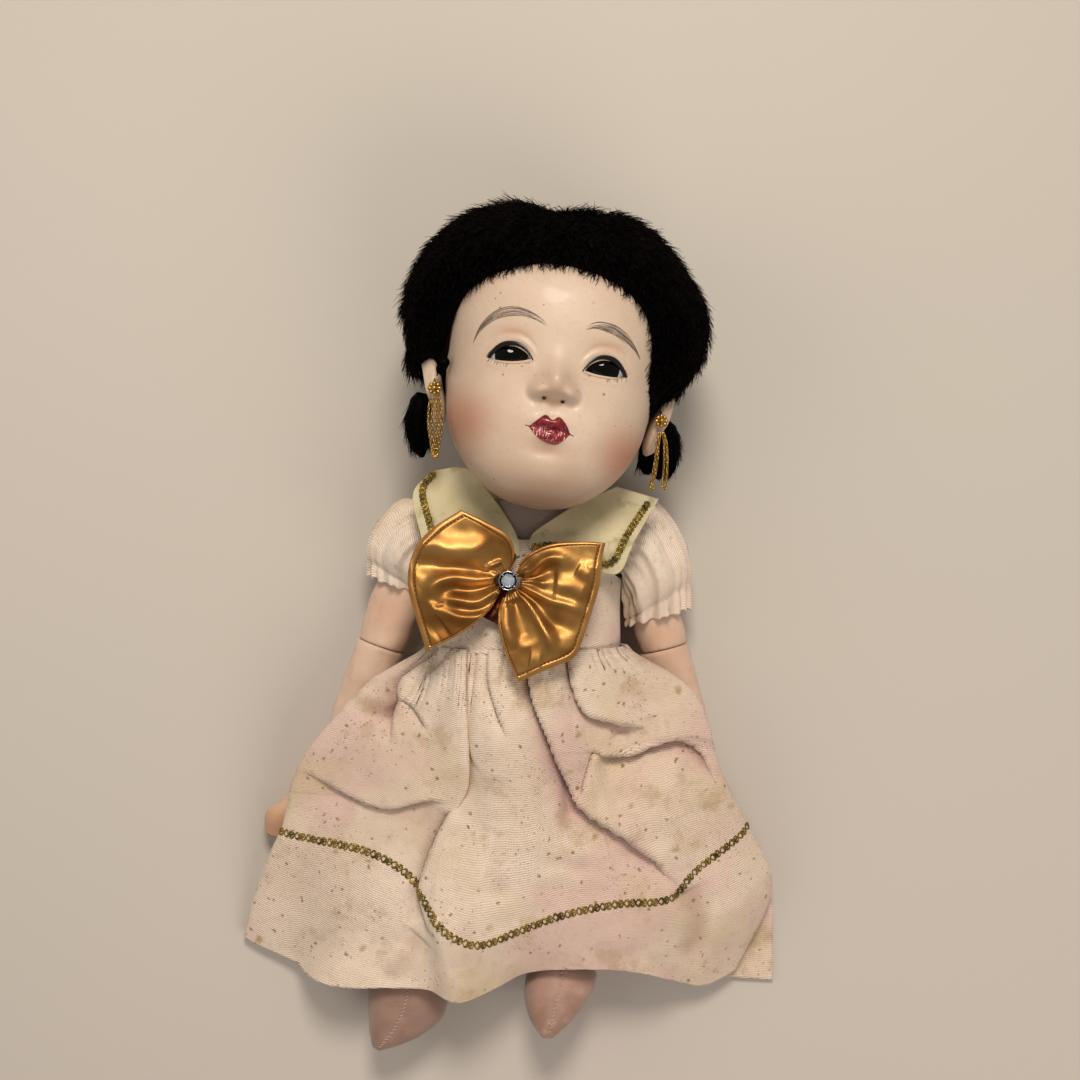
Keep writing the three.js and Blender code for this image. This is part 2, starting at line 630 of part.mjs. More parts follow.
function earBody(way, grow) {
  const body = new THREE.SphereGeometry(1, 14, 10);
  body.scale(ear.halfThick + grow, ear.halfHeight + grow, ear.halfDepth + grow);
  return body.rotateZ(way * radians(ear.leanDegrees)).translate(way * ear.x, ear.y, ear.z);
}

function neckBore(group) {
  const length = 2 * (neck.length + neck.boreTopGap);
  const bore = new THREE.CylinderGeometry(neck.boreRadius, neck.boreRadius, length, 28);
  return bore.translate(neck.x, trunk.neckY, neck.z).applyMatrix4(group.matrixWorld.clone().invert());
}

function addHead(group) {
  let solid = toSolid(headBody(0, headAround, headAlong));
  for (const way of [1, -1]) {
    solid = solid.add(toSolid(earBody(way, 0)));
  }
  const ballZ = faceZ(eye.spacing / 2, eye.level, 0) - eye.depth + eye.sink;
  for (const way of [1, -1]) {
    const pocket = eyeball(seatGap).translate((way * eye.spacing) / 2, eye.level, ballZ);
    solid = solid.subtract(toSolid(pocket));
  }
  solid = solid.subtract(toSolid(neckBore(group)));
  add(group, "head", toGeometry(solid), colours.skin, 0.35);
  for (const [name, way] of [["left_eye", 1], ["right_eye", -1]]) {
    add(group, name, eyeball(0).translate((way * eye.spacing) / 2, eye.level, ballZ), colours.glass, 0.05);
  }
}

function addWig(group) {
  const rings = [];
  const around = 26;
  for (let j = 1; j < 16; j++) {
    const ring = [];
    for (let i = 0; i < around; i++) {
      const turn = (2 * Math.PI * i) / around;
      const point = headPoint(turn, j / 16, 0);
      const level = THREE.MathUtils.clamp(point.y / (head.height / 2), -1, 1);
      const puff = mix(wig.side, wig.top, Math.abs(level) ** 2) * (1 - 0.35 * Math.max(-level, 0));
      const sideways = Math.abs(Math.cos(turn));
      point.x += Math.sign(point.x) * puff * sideways;
      point.z += wig.back * Math.sin(turn);
      point.y += level * wig.top;
      ring.push(point);
    }
    rings.push(ring);
  }
  let solid = toSolid(ringBody(rings)).subtract(toSolid(headBody(seatGap, headAround, headAlong)));
  for (const way of [1, -1]) {
    solid = solid.subtract(toSolid(earBody(way, seatGap)));
  }
  const fringe = fringeShares.map(([x, y]) => new THREE.Vector2(x * wig.templeX, y * wig.fringeY));
  const depth = head.halfDepth + cutOverrun;
  const window = new THREE.ExtrudeGeometry(new THREE.Shape(fringe), { depth, bevelEnabled: false });
  solid = solid.subtract(toSolid(window.translate(0, 0, wig.cutFrontZ)));
  const wide = head.halfWidth + cutOverrun;
  const tall = head.height + cutOverrun;
  const back = wigEdgeShares.back * head.halfDepth;
  const belowRight = box(vec(-wide, -tall, back), vec(0, wigEdgeShares.right * head.height, wide));
  const belowLeft = box(vec(-seatGap, -tall, back), vec(wide, wigEdgeShares.left * head.height, wide));
  const nape = box(vec(-wide, -tall, -wide), vec(wide, wigEdgeShares.nape * head.height, wide));
  const floor = box(vec(-wide * 2, -tall, -cutOverrun), vec(wide * 2, tall * 2, 0));
  floor.applyMatrix4(group.matrixWorld.clone().invert());
  for (const cut of [belowRight, belowLeft, nape, floor, neckBore(group)]) {
    solid = solid.subtract(toSolid(cut));
  }
  const largest = solid.decompose().sort((a, b) => b.volume() - a.volume())[0];
  add(group, "wig", toGeometry(largest), colours.hair, 0.9);
}

// Locks and earrings are laid out in the doll's own frame, then kept clear of the head
function taperedLock(points, radius, tip) {
  const path = new THREE.CatmullRomCurve3(points, false, "centripetal");
  const rings = [];
  for (let j = 0; j <= 7; j++) {
    const share = j / 7;
    const size = mix(radius, tip, share ** 1.5) * Math.min(1, 0.6 + share * 3);
    const middle = path.getPoint(share);
    const way = path.getTangent(share);
    const side = vec(0, 0, 1).cross(way).normalize();
    const up = way.clone().cross(side);
    const ring = [];
    for (let i = 0; i < 9; i++) {
      const turn = (2 * Math.PI * i) / 9;
      const point = middle.clone().addScaledVector(side, size * Math.cos(turn));
      ring.push(point.addScaledVector(up, size * Math.sin(turn)));
    }
    rings.push(ring);
  }
  return ringBody(rings);
}

const headGroup = new THREE.Group();
headGroup.rotation.set(0, radians(head.yawDegrees), radians(head.rollDegrees));
headGroup.position.set(head.chinX, head.chinY, head.z);
headGroup.position.x -= chinShare * head.height * Math.sin(radians(head.rollDegrees));
headGroup.position.y += chinShare * head.height * Math.cos(radians(head.rollDegrees));
object.add(headGroup);
object.updateMatrixWorld(true);

// Limbs: a rounded tube of cloth from a ball end
function limbBody(stations, roundStart) {
  const rings = [];
  const stationAt = (share) => {
    const place = share * (stations.length - 1);
    const low = Math.min(Math.floor(place), stations.length - 2);
    return stations[low].map((value, i) => mix(value, stations[low + 1][i], place - low));
  };
  const around = 14;
  const capSteps = roundStart ? 5 : 0;
  const [x0, y0, z0, wide0, high0] = stations[0];
  for (let k = 1; k < capSteps; k++) {
    const lean = (Math.PI / 2) * (k / capSteps);
    rings.push([x0, y0 + wide0 * Math.cos(lean), z0, wide0 * Math.sin(lean), high0 * Math.sin(lean)]);
  }
  const steps = (stations.length - 1) * 2;
  for (let k = 0; k <= steps; k++) {
    rings.push(stationAt(k / steps));
  }
  return ringBody(
    rings.map(([x, y, z, wide, high]) => {
      const ring = [];
      for (let i = 0; i < around; i++) {
        const turn = (2 * Math.PI * i) / around;
        ring.push(vec(x + wide * Math.cos(turn), y, z + high * Math.sin(turn)));
      }
      return ring;
    }),
  );
}

const shoulderX = trunk.halfWidth + 2 * seatGap + arm.radius;

function addArm(side, way, pose) {
  const group = new THREE.Group();
  group.position.set(way * shoulderX, arm.shoulderY, 0);
  group.rotation.set(0, 0, way * radians(pose.degrees));
  object.add(group);
  const upper = [
    [0, 0, arm.shoulderZ, arm.radius, arm.radius],
    [0, -armSplit.elbow / 2, mix(arm.shoulderZ, armDrop.elbowZ, 0.5), arm.radius, arm.radius],
    [0, -armSplit.elbow, armDrop.elbowZ, arm.seamRadius, arm.seamRadius],
  ];
  add(group, side + "_upper_arm", limbBody(upper, true), colours.limb, 0.95);
  const start = -armSplit.elbow - seatGap;
  const hand = armSplit.tip - armSplit.wrist;
  const bend = (share) => way * pose.handBend * share;
  const { seamRadius, wristRadius, handHalfWidth } = arm;
  const midY = mix(start, -armSplit.wrist, 0.5);
  const midZ = mix(armDrop.elbowZ, armDrop.wristZ, 0.5);
  const fore = [
    [0, start, armDrop.elbowZ, seamRadius, seamRadius],
    [bend(0.04), midY, midZ, seamRadius, seamRadius * 0.95],
    [bend(0.2), -armSplit.wrist, armDrop.wristZ, wristRadius, wristRadius],
    [bend(0.58), -armSplit.wrist - hand * 0.4, armDrop.tipZ, handHalfWidth, wristRadius * 0.85],
    [bend(0.9), -armSplit.wrist - hand * 0.8, armDrop.tipZ, handHalfWidth * 0.8, wristRadius * 0.6],
    [bend(1), -armSplit.tip, armDrop.tipZ, handHalfWidth * 0.3, wristRadius * 0.25],
  ];
  add(group, side + "_forearm", limbBody(fore, false), colours.limb, 0.9);
}

// The puffed sleeve lies between an outer edge over the shoulder and an inner edge at the armpit
function addSleeve(side, way, pose) {
  const rootX = trunk.halfWidth + bodice.linerGap + dressCloth + seatGap;
  const shoulder = vec(way * shoulderX, arm.shoulderY, arm.shoulderZ);
  const turn = radians(pose.degrees);
  const down = vec(way * Math.sin(turn), -Math.cos(turn), 0);
  const out = vec(way * Math.cos(turn), Math.sin(turn), 0);
  const cuff = shoulder.clone().addScaledVector(down, pose.sleeveLength);
  const outer = new THREE.CatmullRomCurve3([
    vec(way * rootX, arm.shoulderY + sleeve.rootHalf, arm.shoulderZ),
    shoulder.clone().add(vec(way * sleeve.capOut, sleeve.capRise, 0)),
    shoulder.clone().addScaledVector(out, sleeve.puff).lerp(cuff, puffPlaceShare),
    cuff.clone().addScaledVector(out, sleeve.cuffHalf),
  ]);
  const inner = new THREE.CatmullRomCurve3([
    vec(way * rootX, arm.shoulderY - sleeve.rootHalf, arm.shoulderZ),
    cuff.clone().addScaledVector(out, -sleeve.cuffHalf),
  ]);
  const surface = (u, v) => {
    const high = outer.getPoint(v);
    const low = inner.getPoint(v);
    const middle = high.clone().add(low).multiplyScalar(0.5);
    const round = 2 * Math.PI * u * way;
    const swell = Math.sin(Math.PI * Math.min(v * 1.1, 1));
    const tall = mix(mix(sleeve.rootHalf, sleeve.cuffHalf, v), sleeve.puffHeight, swell);
    const sink = (v * pose.sleeveLength * (arm.shoulderZ - armDrop.elbowZ)) / armSplit.elbow;
    const pleat = sleeve.pleatDeep * Math.cos(round * sleeve.pleats);
    const point = middle.clone().addScaledVector(high.sub(middle), Math.cos(round));
    point.z += (tall + pleat) * Math.sin(round) - sink;
    point.x = way * Math.max(way * point.x, rootX);
    point.z = Math.max(point.z, seatGap);
    return point;
  };
  const tube = clothBody(surface, 27, 5, sleeve.cloth, { closed: true });
  add(object, side + "_sleeve", tube, colours.cloth, 0.95);
}

function addPelvis() {
  const rings = [];
  for (const [share, wide, high] of pelvisShares) {
    const ring = [];
    for (let i = 0; i < 22; i++) {
      const turn = (2 * Math.PI * i) / 22;
      const halfHigh = (high * pelvis.height) / 2;
      const [x, z] = cornerPoint(turn, wide * pelvis.halfWidth, halfHigh, trunkCornerPower);
      const y = trunk.creaseY - 2 * seatGap - share * pelvis.length;
      ring.push(vec(x, y, Math.max(pelvis.backZ + pelvis.height / 2 + z, pelvis.backZ)));
    }
    rings.push(ring);
  }
  add(object, "pelvis", ringBody(rings), colours.limb, 0.95);
}

function addLeg(side, way, degrees, footShares) {
  const hipY = trunk.creaseY - 2 * seatGap - pelvis.length - seatGap - leg.hipRadius;
  const group = new THREE.Group();
  group.position.set(way * leg.hipX, hipY, 0);
  group.rotation.set(0, 0, way * radians(degrees));
  object.add(group);
  const stations = [
    [0, 0, leg.hipZ, leg.hipRadius, leg.hipRadius],
    [0, -leg.length / 2, mix(leg.hipZ, leg.ankleZ, 0.5), leg.kneeRadius, leg.kneeRadius],
    [0, -leg.length, leg.ankleZ, leg.ankleRadius, leg.ankleRadius],
  ];
  add(group, side + "_leg", limbBody(stations, true), colours.limb, 0.95);
  const foot = footShares.map(([down, side, wide, up, high]) => [
    -way * side * bootee.halfWidth,
    -leg.length - seatGap - down * bootee.length,
    up * bootee.height,
    wide * bootee.halfWidth,
    high * bootee.height,
  ]);
  add(group, side + "_bootee", limbBody(foot, false), colours.bootee, 0.6);
}

// Skirt surface: u runs from the right foot of the cloth over the front to the left, v from waist to hem
const skirtPoint = ([across, down, up]) =>
  vec(across * skirt.halfWidth, skirt.topY - down * skirt.length, up * skirt.height);
const rowCurves = skirtRows.map((row, r) => {
  const downRight = row[0][1];
  const downLeft = row[row.length - 1][1];
  const footUp = skirt.footZ / skirt.height;
  const [rightTurn, rightUp, rightFoot] = rightWallShares[r];
  const [leftTurn, leftUp, leftFoot] = leftWallShares[r];
  const whole = [
    [rightFoot, downRight, footUp], [rightTurn, downRight, rightUp], ...row,
    [leftTurn, downLeft, leftUp], [leftFoot, downLeft, footUp],
  ];
  return new THREE.CatmullRomCurve3(whole.map(skirtPoint), false, "centripetal");
});

// Distance on the panel from a path of [u, v] shares, in millimetres
function pathDistance(u, v, path) {
  const x = u * 2 * skirt.halfWidth;
  const y = v * skirt.length;
  let least = Infinity;
  for (let i = 0; i < path.length - 1; i++) {
    const [ax, ay] = [path[i][0] * 2 * skirt.halfWidth, path[i][1] * skirt.length];
    const [bx, by] = [path[i + 1][0] * 2 * skirt.halfWidth, path[i + 1][1] * skirt.length];
    const span = (bx - ax) ** 2 + (by - ay) ** 2;
    const share = THREE.MathUtils.clamp(((x - ax) * (bx - ax) + (y - ay) * (by - ay)) / span, 0, 1);
    least = Math.min(least, Math.hypot(x - mix(ax, bx, share), y - mix(ay, by, share)));
  }
  return least;
}

function skirtSurface(u, v) {
  const stops = rowCurves.map((curve) => curve.getPoint(u));
  const point = new THREE.CatmullRomCurve3(stops, false, "centripetal").getPoint(v);
  const front = THREE.MathUtils.smoothstep(u, 0.12, 0.2) * THREE.MathUtils.smoothstep(1 - u, 0.12, 0.2);
  for (const path of creaseShares) {
    point.z -= front * crease.deep * bell(pathDistance(u, v, path), crease.width);
  }
  const near = Math.max(1 - v / gather.reachShare, 0);
  point.z -= (front * near * gather.deep * (1 - Math.cos(2 * Math.PI * gather.count * u))) / 2;
  point.z = Math.max(point.z, skirt.footZ);
  return point;
}

function addSkirt() {
  add(object, "skirt_front", clothBody(skirtSurface, 48, 10, -skirtCloth), colours.cloth, 0.95);
  const back = (u, v) => {
    const right = skirtSurface(0, v);
    const left = skirtSurface(1, v);
    const along = Math.max(v - flapShares.sideEnd, 0) / (1 - flapShares.sideEnd);
    const corner = vec(flap.x, mix(flap.sideY, flap.y, along), 0);
    left.lerp(corner, THREE.MathUtils.smoothstep(v, flapShares.start, flapShares.full));
    const point = right.lerp(left, u);
    point.z = skirtCloth;
    return point;
  };
  add(object, "skirt_back", clothBody(back, 8, 8, skirtCloth, { flat: true }), colours.cloth, 0.95);
  const braid = (u, v) => {
    const down = braidRowShare + (mix(-0.5, 0.5, v) * braidWidth) / skirt.length;
    const point = skirtSurface(mix(skirtSideShare, 1 - skirtSideShare, u), down);
    return point.add(vec(0, 0, skirtBraidLift + braidThick));
  };
  add(object, "skirt_braid", clothBody(braid, 36, 1, braidThick, { flat: true }), colours.braid, 0.5, 0.6);
}

// An earring's bead cap sits in front of the ear and its chain lies down the doll
function addEarring(side, way) {
  const centre = vec(way * (ear.x + seatGap), ear.y, ear.z + ear.halfDepth + seatGap + earring.capRadius);
  centre.applyMatrix4(headGroup.matrixWorld);
  const cap = new THREE.SphereGeometry(earring.capRadius, 12, 8).translate(centre.x, centre.y, centre.z);
  add(object, side + "_earring_cap", cap, colours.gold, 0.35, 0.9);
  const end = (earring.capRadius + seatGap) / earring.drop;
  const start = end + earring.chainRadius / earring.drop;
  const looped = [[-0.7, end], [-0.9, 0.5], [0, 1], [0.8, 0.5], [0.7, end]];
  const hanging = [[-1.6, 1], [-0.9, 0.6], [-0.7, 0.3], [0, start], [0.7, 0.3], [1, 0.6], [0.8, 1]];
  const points = (way > 0 ? hanging : looped).map(([across, down]) =>
    vec(across * earring.halfGap, -down * earring.drop, -down * earring.fall).add(centre),
  );
  const chain = tubeAlong(points, earring.chainRadius, 18, 6);
  add(object, side + "_earring_chain", chain, colours.gold, 0.35, 0.9);
}

function addLocks() {
  const size = vec(head.halfWidth, head.height, head.halfDepth);
  const place = (shares) =>
    shares.map((share) => vec(...share).multiply(size).add(headGroup.position));
  for (const [name, shares] of [["right_nape_lock", rightLockShares], ["left_nape_lock", leftLockShares]]) {
    add(object, name, taperedLock(place(shares), lock.radius, lock.tip), colours.hair, 0.9);
  }
  const small = earLockShares.map((share) => vec(...share).multiply(size));
  add(headGroup, "right_ear_lock", taperedLock(small, earLock.radius, earLock.tip), colours.hair, 0.9);
}

addTrunk();
addBodice();
addCollar();
addBow();
addHead(headGroup);
addWig(headGroup);
addLocks();
addEarring("right", -1);
addEarring("left", 1);
addArm("right", -1, rightArm);
addArm("left", 1, leftArm);
addSleeve("right", -1, rightArm);
addSleeve("left", 1, leftArm);
addPelvis();
addLeg("right", -1, rightLegDegrees, rightBooteeShares);
addLeg("left", 1, leftLegDegrees, leftBooteeShares);
addSkirt();

export default object;
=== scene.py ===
import math

import bpy
import numpy as np
from mathutils import Matrix, Vector


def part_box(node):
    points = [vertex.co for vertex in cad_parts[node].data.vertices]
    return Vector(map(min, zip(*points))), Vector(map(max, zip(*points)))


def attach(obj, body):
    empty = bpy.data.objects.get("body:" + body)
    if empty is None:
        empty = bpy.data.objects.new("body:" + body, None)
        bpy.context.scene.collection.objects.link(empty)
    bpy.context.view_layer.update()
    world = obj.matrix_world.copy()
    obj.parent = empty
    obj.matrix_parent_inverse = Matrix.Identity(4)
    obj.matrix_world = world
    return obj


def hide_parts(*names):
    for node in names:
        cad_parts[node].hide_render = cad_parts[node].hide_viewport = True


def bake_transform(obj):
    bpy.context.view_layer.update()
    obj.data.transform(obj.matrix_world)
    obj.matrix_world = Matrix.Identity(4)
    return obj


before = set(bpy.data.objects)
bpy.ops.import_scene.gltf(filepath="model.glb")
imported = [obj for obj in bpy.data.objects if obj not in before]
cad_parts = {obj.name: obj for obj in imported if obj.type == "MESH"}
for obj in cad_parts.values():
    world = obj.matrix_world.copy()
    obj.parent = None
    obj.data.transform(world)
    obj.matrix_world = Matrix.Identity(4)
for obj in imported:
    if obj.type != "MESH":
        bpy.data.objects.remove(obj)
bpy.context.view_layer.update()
MM = 0.001


# Numbers and curves
def lerp(a, b, t):
    return a + (b - a) * t


def smooth(x, low, high):
    t = np.clip((np.asarray(x, float) - low) / (high - low), 0, 1)
    return t * t * (3 - 2 * t)


def bell(distance, spread):
    return np.exp(-((np.asarray(distance, float) / spread) ** 2))


def spline(points, t):
    """Centripetal curve through points, shape (n, ..., 3), at places t from 0 to 1."""
    p = np.asarray(points, float)
    t = np.atleast_1d(np.asarray(t, float))
    whole = np.concatenate([[2 * p[0] - p[1]], p, [2 * p[-1] - p[-2]]])
    place = np.clip(t, 0, 1) * (len(p) - 1)
    i = np.minimum(place.astype(int), len(p) - 2)
    w = (place - i).reshape((-1,) + (1,) * (p.ndim - 1))
    p0, p1, p2, p3 = (whole[i + k] for k in range(4))

    def gap(a, b):
        return np.maximum(np.linalg.norm(a - b, axis=-1, keepdims=True) ** 0.5, 1e-6)

    d0, d1, d2 = gap(p0, p1), gap(p1, p2), gap(p2, p3)
    t1 = ((p1 - p0) / d0 - (p2 - p0) / (d0 + d1) + (p2 - p1) / d1) * d1
    t2 = ((p2 - p1) / d1 - (p3 - p1) / (d1 + d2) + (p3 - p2) / d2) * d1
    return p1 + t1 * w + (-3 * p1 + 3 * p2 - 2 * t1 - t2) * w**2 + (2 * p1 - 2 * p2 + t1 + t2) * w**3


def table(rows):
    """Smooth values between the rows of a table whose first column rises."""
    rows = np.asarray(rows, float)
    x, values = rows[:, 0], rows[:, 1:]

    def at(place):
        place = np.clip(np.asarray(place, float), x[0], x[-1])
        i1 = np.clip(np.searchsorted(x, place, side="right"), 1, len(x) - 1)
        i0 = i1 - 1
        t0, t1 = x[i0], x[i1]
        prev = np.where(i0 > 0, i0 - 1, i1)
        t_prev = np.where(i0 > 0, x[np.maximum(i0 - 1, 0)], t1)
        following = np.where(i1 < len(x) - 1, i1 + 1, i0)
        t_next = np.where(i1 < len(x) - 1, x[np.minimum(i1 + 1, len(x) - 1)], t0)
        half = (t1 - t0) / 2
        wp = half / (t0 - t_prev)
        wn = half / (t_next - t1)
        p = (place - t0) / (t1 - t0)
        s_prev = -wp * p**3 + 2 * wp * p**2 - wp * p
        s0 = (1 + wp) * p**3 + (-1.5 - 2 * wp) * p**2 + (-0.5 + wp) * p + 1
        s1 = (-1 - wn) * p**3 + (1.5 + wn) * p**2 + 0.5 * p
        s_next = wn * p**3 - wn * p**2
        parts = [(s_prev, prev), (s0, i0), (s1, i1), (s_next, following)]
        return [sum(s * values[k, c] for s, k in parts) for c in range(values.shape[1])]

    return at


def rounded(turn, wide, high, power):
    c, s = np.cos(turn), np.sin(turn)
    return (
        wide * np.sign(c) * np.abs(c) ** (2 / power),
        high * np.sign(s) * np.abs(s) ** (2 / power),
    )


def ripple(x, y, seed, size, octaves=3):
    """Smooth random height between about -1 and 1, the same at each run."""
    rng = np.random.default_rng(seed)
    total = np.zeros(np.broadcast(x, y).shape)
    weight = 0.0
    for octave in range(octaves):
        step = size / 2**octave
        share = 0.55**octave
        for _ in range(5):
            angle, phase = rng.uniform(0, 2 * np.pi, 2)
            stretch = rng.uniform(0.7, 1.4)
            total += share * np.sin((x * np.cos(angle) + y * np.sin(angle)) * 2 * np.pi / (step * stretch)
                                    + phase)
        weight += share * 5**0.5
    return total / weight


# Meshes
def new_object(name, points, faces, attributes=None, smooth_faces=True):
    """A mesh object from points in millimetres; faces all have the same number of corners."""
    points = np.asarray(points, float).reshape(-1, 3)
    faces = np.asarray(faces, np.int32)
    corners = points[faces]
    volume = np.sum(corners[:, 0] * np.cross(corners[:, 1], corners[:, 2]))
    if faces.shape[1] == 4:
        volume += np.sum(corners[:, 0] * np.cross(corners[:, 2], corners[:, 3]))
    if volume < 0:
        faces = np.ascontiguousarray(faces[:, ::-1])
    mesh = bpy.data.meshes.new(name)
    mesh.vertices.add(len(points))
    mesh.vertices.foreach_set("co", (points * MM).ravel())
    mesh.loops.add(faces.size)
    mesh.loops.foreach_set("vertex_index", faces.ravel())
    mesh.polygons.add(len(faces))
    mesh.polygons.foreach_set("loop_start", np.arange(0, faces.size, faces.shape[1], dtype=np.int32))
    mesh.polygons.foreach_set("use_smooth", np.full(len(faces), smooth_faces))
    mesh.update(calc_edges=True)
    for label, values in (attributes or {}).items():
        values = np.asarray(values, np.float32)
        kind = "FLOAT_VECTOR" if values.ndim == 2 else "FLOAT"
        layer = mesh.attributes.new(label, kind, "POINT")
        layer.data.foreach_set("vector" if values.ndim == 2 else "value", values.ravel())
    obj = bpy.data.objects.new(name, mesh)
    bpy.context.scene.collection.objects.link(obj)
    return obj


def grid_faces(rows, columns, closed=False, start=0, flip=False):
    j, i = np.meshgrid(np.arange(rows - 1), np.arange(columns if closed else columns - 1), indexing="ij")
    a = j * columns + i
    b = j * columns + (i + 1) % columns
    quads = np.stack([a, b, b + columns, a + columns], -1).reshape(-1, 4) + start
    return quads[:, ::-1] if flip else quads


def grid_normals(P, closed=False):
    if closed:
        along = np.roll(P, -1, 1) - np.roll(P, 1, 1)
    else:
        along = np.gradient(P, axis=1)
    down = np.gradient(P, axis=0)
    n = np.cross(along, down)
    return n / np.maximum(np.linalg.norm(n, axis=-1, keepdims=True), 1e-9)


def cloth_places(P):
    """Flat places on a sheet in millimetres, from lengths along its rows and columns."""
    across = np.linalg.norm(np.diff(P, axis=1), axis=-1)
    s = np.concatenate([np.zeros((len(P), 1)), np.cumsum(across, 1)], 1)
    s = s - s[:, s.shape[1] // 2][:, None]
    down = np.linalg.norm(np.diff(P, axis=0), axis=-1)
    t = np.concatenate([np.zeros((1, P.shape[1])), np.cumsum(down, 0)], 0)
    t = lerp(t.mean(1, keepdims=True), t, 0.35)
    return np.stack([s, t, np.zeros_like(s)], -1)


def sheet_object(name, P, thick, closed=False, under=1, places=None, extra=None):
    """A sheet of cloth whose shown side is P, rows by columns; its other side is thick away."""
    rows, columns = P.shape[:2]
    normals = grid_normals(P, closed)
    inner = P - normals * thick * under
    places = cloth_places(P) if places is None else places
    count = rows * columns
    flip = under < 0
    faces = [grid_faces(rows, columns, closed, 0, flip), grid_faces(rows, columns, closed, count, not flip)]
    spans = columns if closed else columns - 1
    i = np.arange(spans)
    k = (i + 1) % columns
    last = (rows - 1) * columns
    top = np.stack([i, i + count, k + count, k], -1)
    bottom = np.stack([last + k, last + k + count, last + i + count, last + i], -1)
    edges = [top, bottom]
    if not closed:
        j = np.arange(rows - 1) * columns
        left = np.stack([j + columns, j + columns + count, j + count, j], -1)
        j = j + columns - 1
        right = np.stack([j, j + count, j + columns + count, j + columns], -1)
        edges += [left, right]
    faces += [edge[:, ::-1] if flip else edge for edge in edges]
    points = np.concatenate([P.reshape(-1, 3), inner.reshape(-1, 3)])
    attributes = {
        "cloth": np.tile(places.reshape(-1, 3), (2, 1)),
        "rest": points,
        "inside": np.repeat([0.0, 1.0], count),
    }
    for label, values in (extra or {}).items():
        attributes[label] = np.tile(values.ravel(), 2)
    return new_object(name, points, np.concatenate(faces), attributes)


def tube_points(path, radius, sides, phase=0.0):
    """Rings of points round a path, with no twist, and the turn of each."""
    path = np.asarray(path, float)
    way = np.gradient(path, axis=0)
    way /= np.maximum(np.linalg.norm(way, axis=1, keepdims=True), 1e-9)
    side = np.zeros_like(path)
    first = np.cross(way[0], [0.0, 0.0, 1.0])
    if np.linalg.norm(first) < 1e-3:
        first = np.cross(way[0], [1.0, 0.0, 0.0])
    side[0] = first / np.linalg.norm(first)
    for k in range(1, len(path)):
        v = side[k - 1] - way[k] * np.dot(side[k - 1], way[k])
        side[k] = v / max(np.linalg.norm(v), 1e-9)
    up = np.cross(way, side)
    turn = np.linspace(0, 2 * np.pi, sides, endpoint=False) + phase
    radius = np.broadcast_to(np.asarray(radius, float), len(path))
    ring = side[:, None] * np.cos(turn)[None, :, None] + up[:, None] * np.sin(turn)[None, :, None]
    return path[:, None] + ring * radius[:, None, None]


class Pile:
    """Collects many small closed bodies into one mesh."""

    def __init__(self):
        self.points, self.quads, self.tris, self.along, self.count = [], [], [], [], 0

    def add(self, rings, closed=False, along=None):
        rows, columns = rings.shape[:2]
        self.points.append(rings.reshape(-1, 3))
        if closed:
            faces = grid_faces(rows + 1, columns, True, 0, True) % (rows * columns)
            self.quads.append(faces + self.count)
        else:
            self.quads.append(grid_faces(rows, columns, True, self.count, True))
            for start, turn in ((0, 1), ((rows - 1) * columns, -1)):
                fan = np.arange(columns)
                order = fan if turn > 0 else fan[::-1]
                tri = np.stack([np.full(columns - 2, order[0]), order[1:-1], order[2:]], -1)
                self.tris.append(tri + self.count + start)
        mark = np.linspace(0, 1, rows) if along is None else along
        self.along.append(np.repeat(mark, columns))
        self.count += rows * columns

    def done(self, name):
        quads = np.concatenate(self.quads)
        tris = [np.concatenate([quads[:, [0, 1, 2]], quads[:, [0, 2, 3]]])] + self.tris
        points = np.concatenate(self.points)
        return new_object(name, points, np.concatenate(tris),
                          {"along": np.concatenate(self.along), "rest": points})


def rings_object(name, rings, attributes=None, flip=False):
    """A closed body through rings of points, with a point in the middle of each end."""
    rows, columns = rings.shape[:2]
    points = rings.reshape(-1, 3)
    quads = grid_faces(rows, columns, True, 0, flip)
    tris = [quads[:, [0, 1, 2]], quads[:, [0, 2, 3]]]
    middles = np.stack([rings[0].mean(0), rings[-1].mean(0)])
    fan = np.arange(columns)
    start = np.stack([np.full(columns, len(points)), (fan + 1) % columns, fan], -1)
    base = (rows - 1) * columns
    end = np.stack([np.full(columns, len(points) + 1), base + fan, base + (fan + 1) % columns], -1)
    if flip:
        start, end = start[:, ::-1], end[:, ::-1]
    points = np.concatenate([points, middles])
    data = {"rest": points}
    for label, values in (attributes or {}).items():
        flat = np.asarray(values, float)
        tail = flat[[0, -1]].mean(1)
        data[label] = np.concatenate([flat.reshape((-1,) + flat.shape[2:]), tail])
    return new_object(name, points, np.concatenate(tris + [start, end]), data)


# Materials
def rgb(text, alpha=1.0):
    values = [int(text[i : i + 2], 16) / 255 for i in (0, 2, 4)]
    return tuple((v / 12.92 if v <= 0.04045 else ((v + 0.055) / 1.055) ** 2.4) for v in values) + (alpha,)


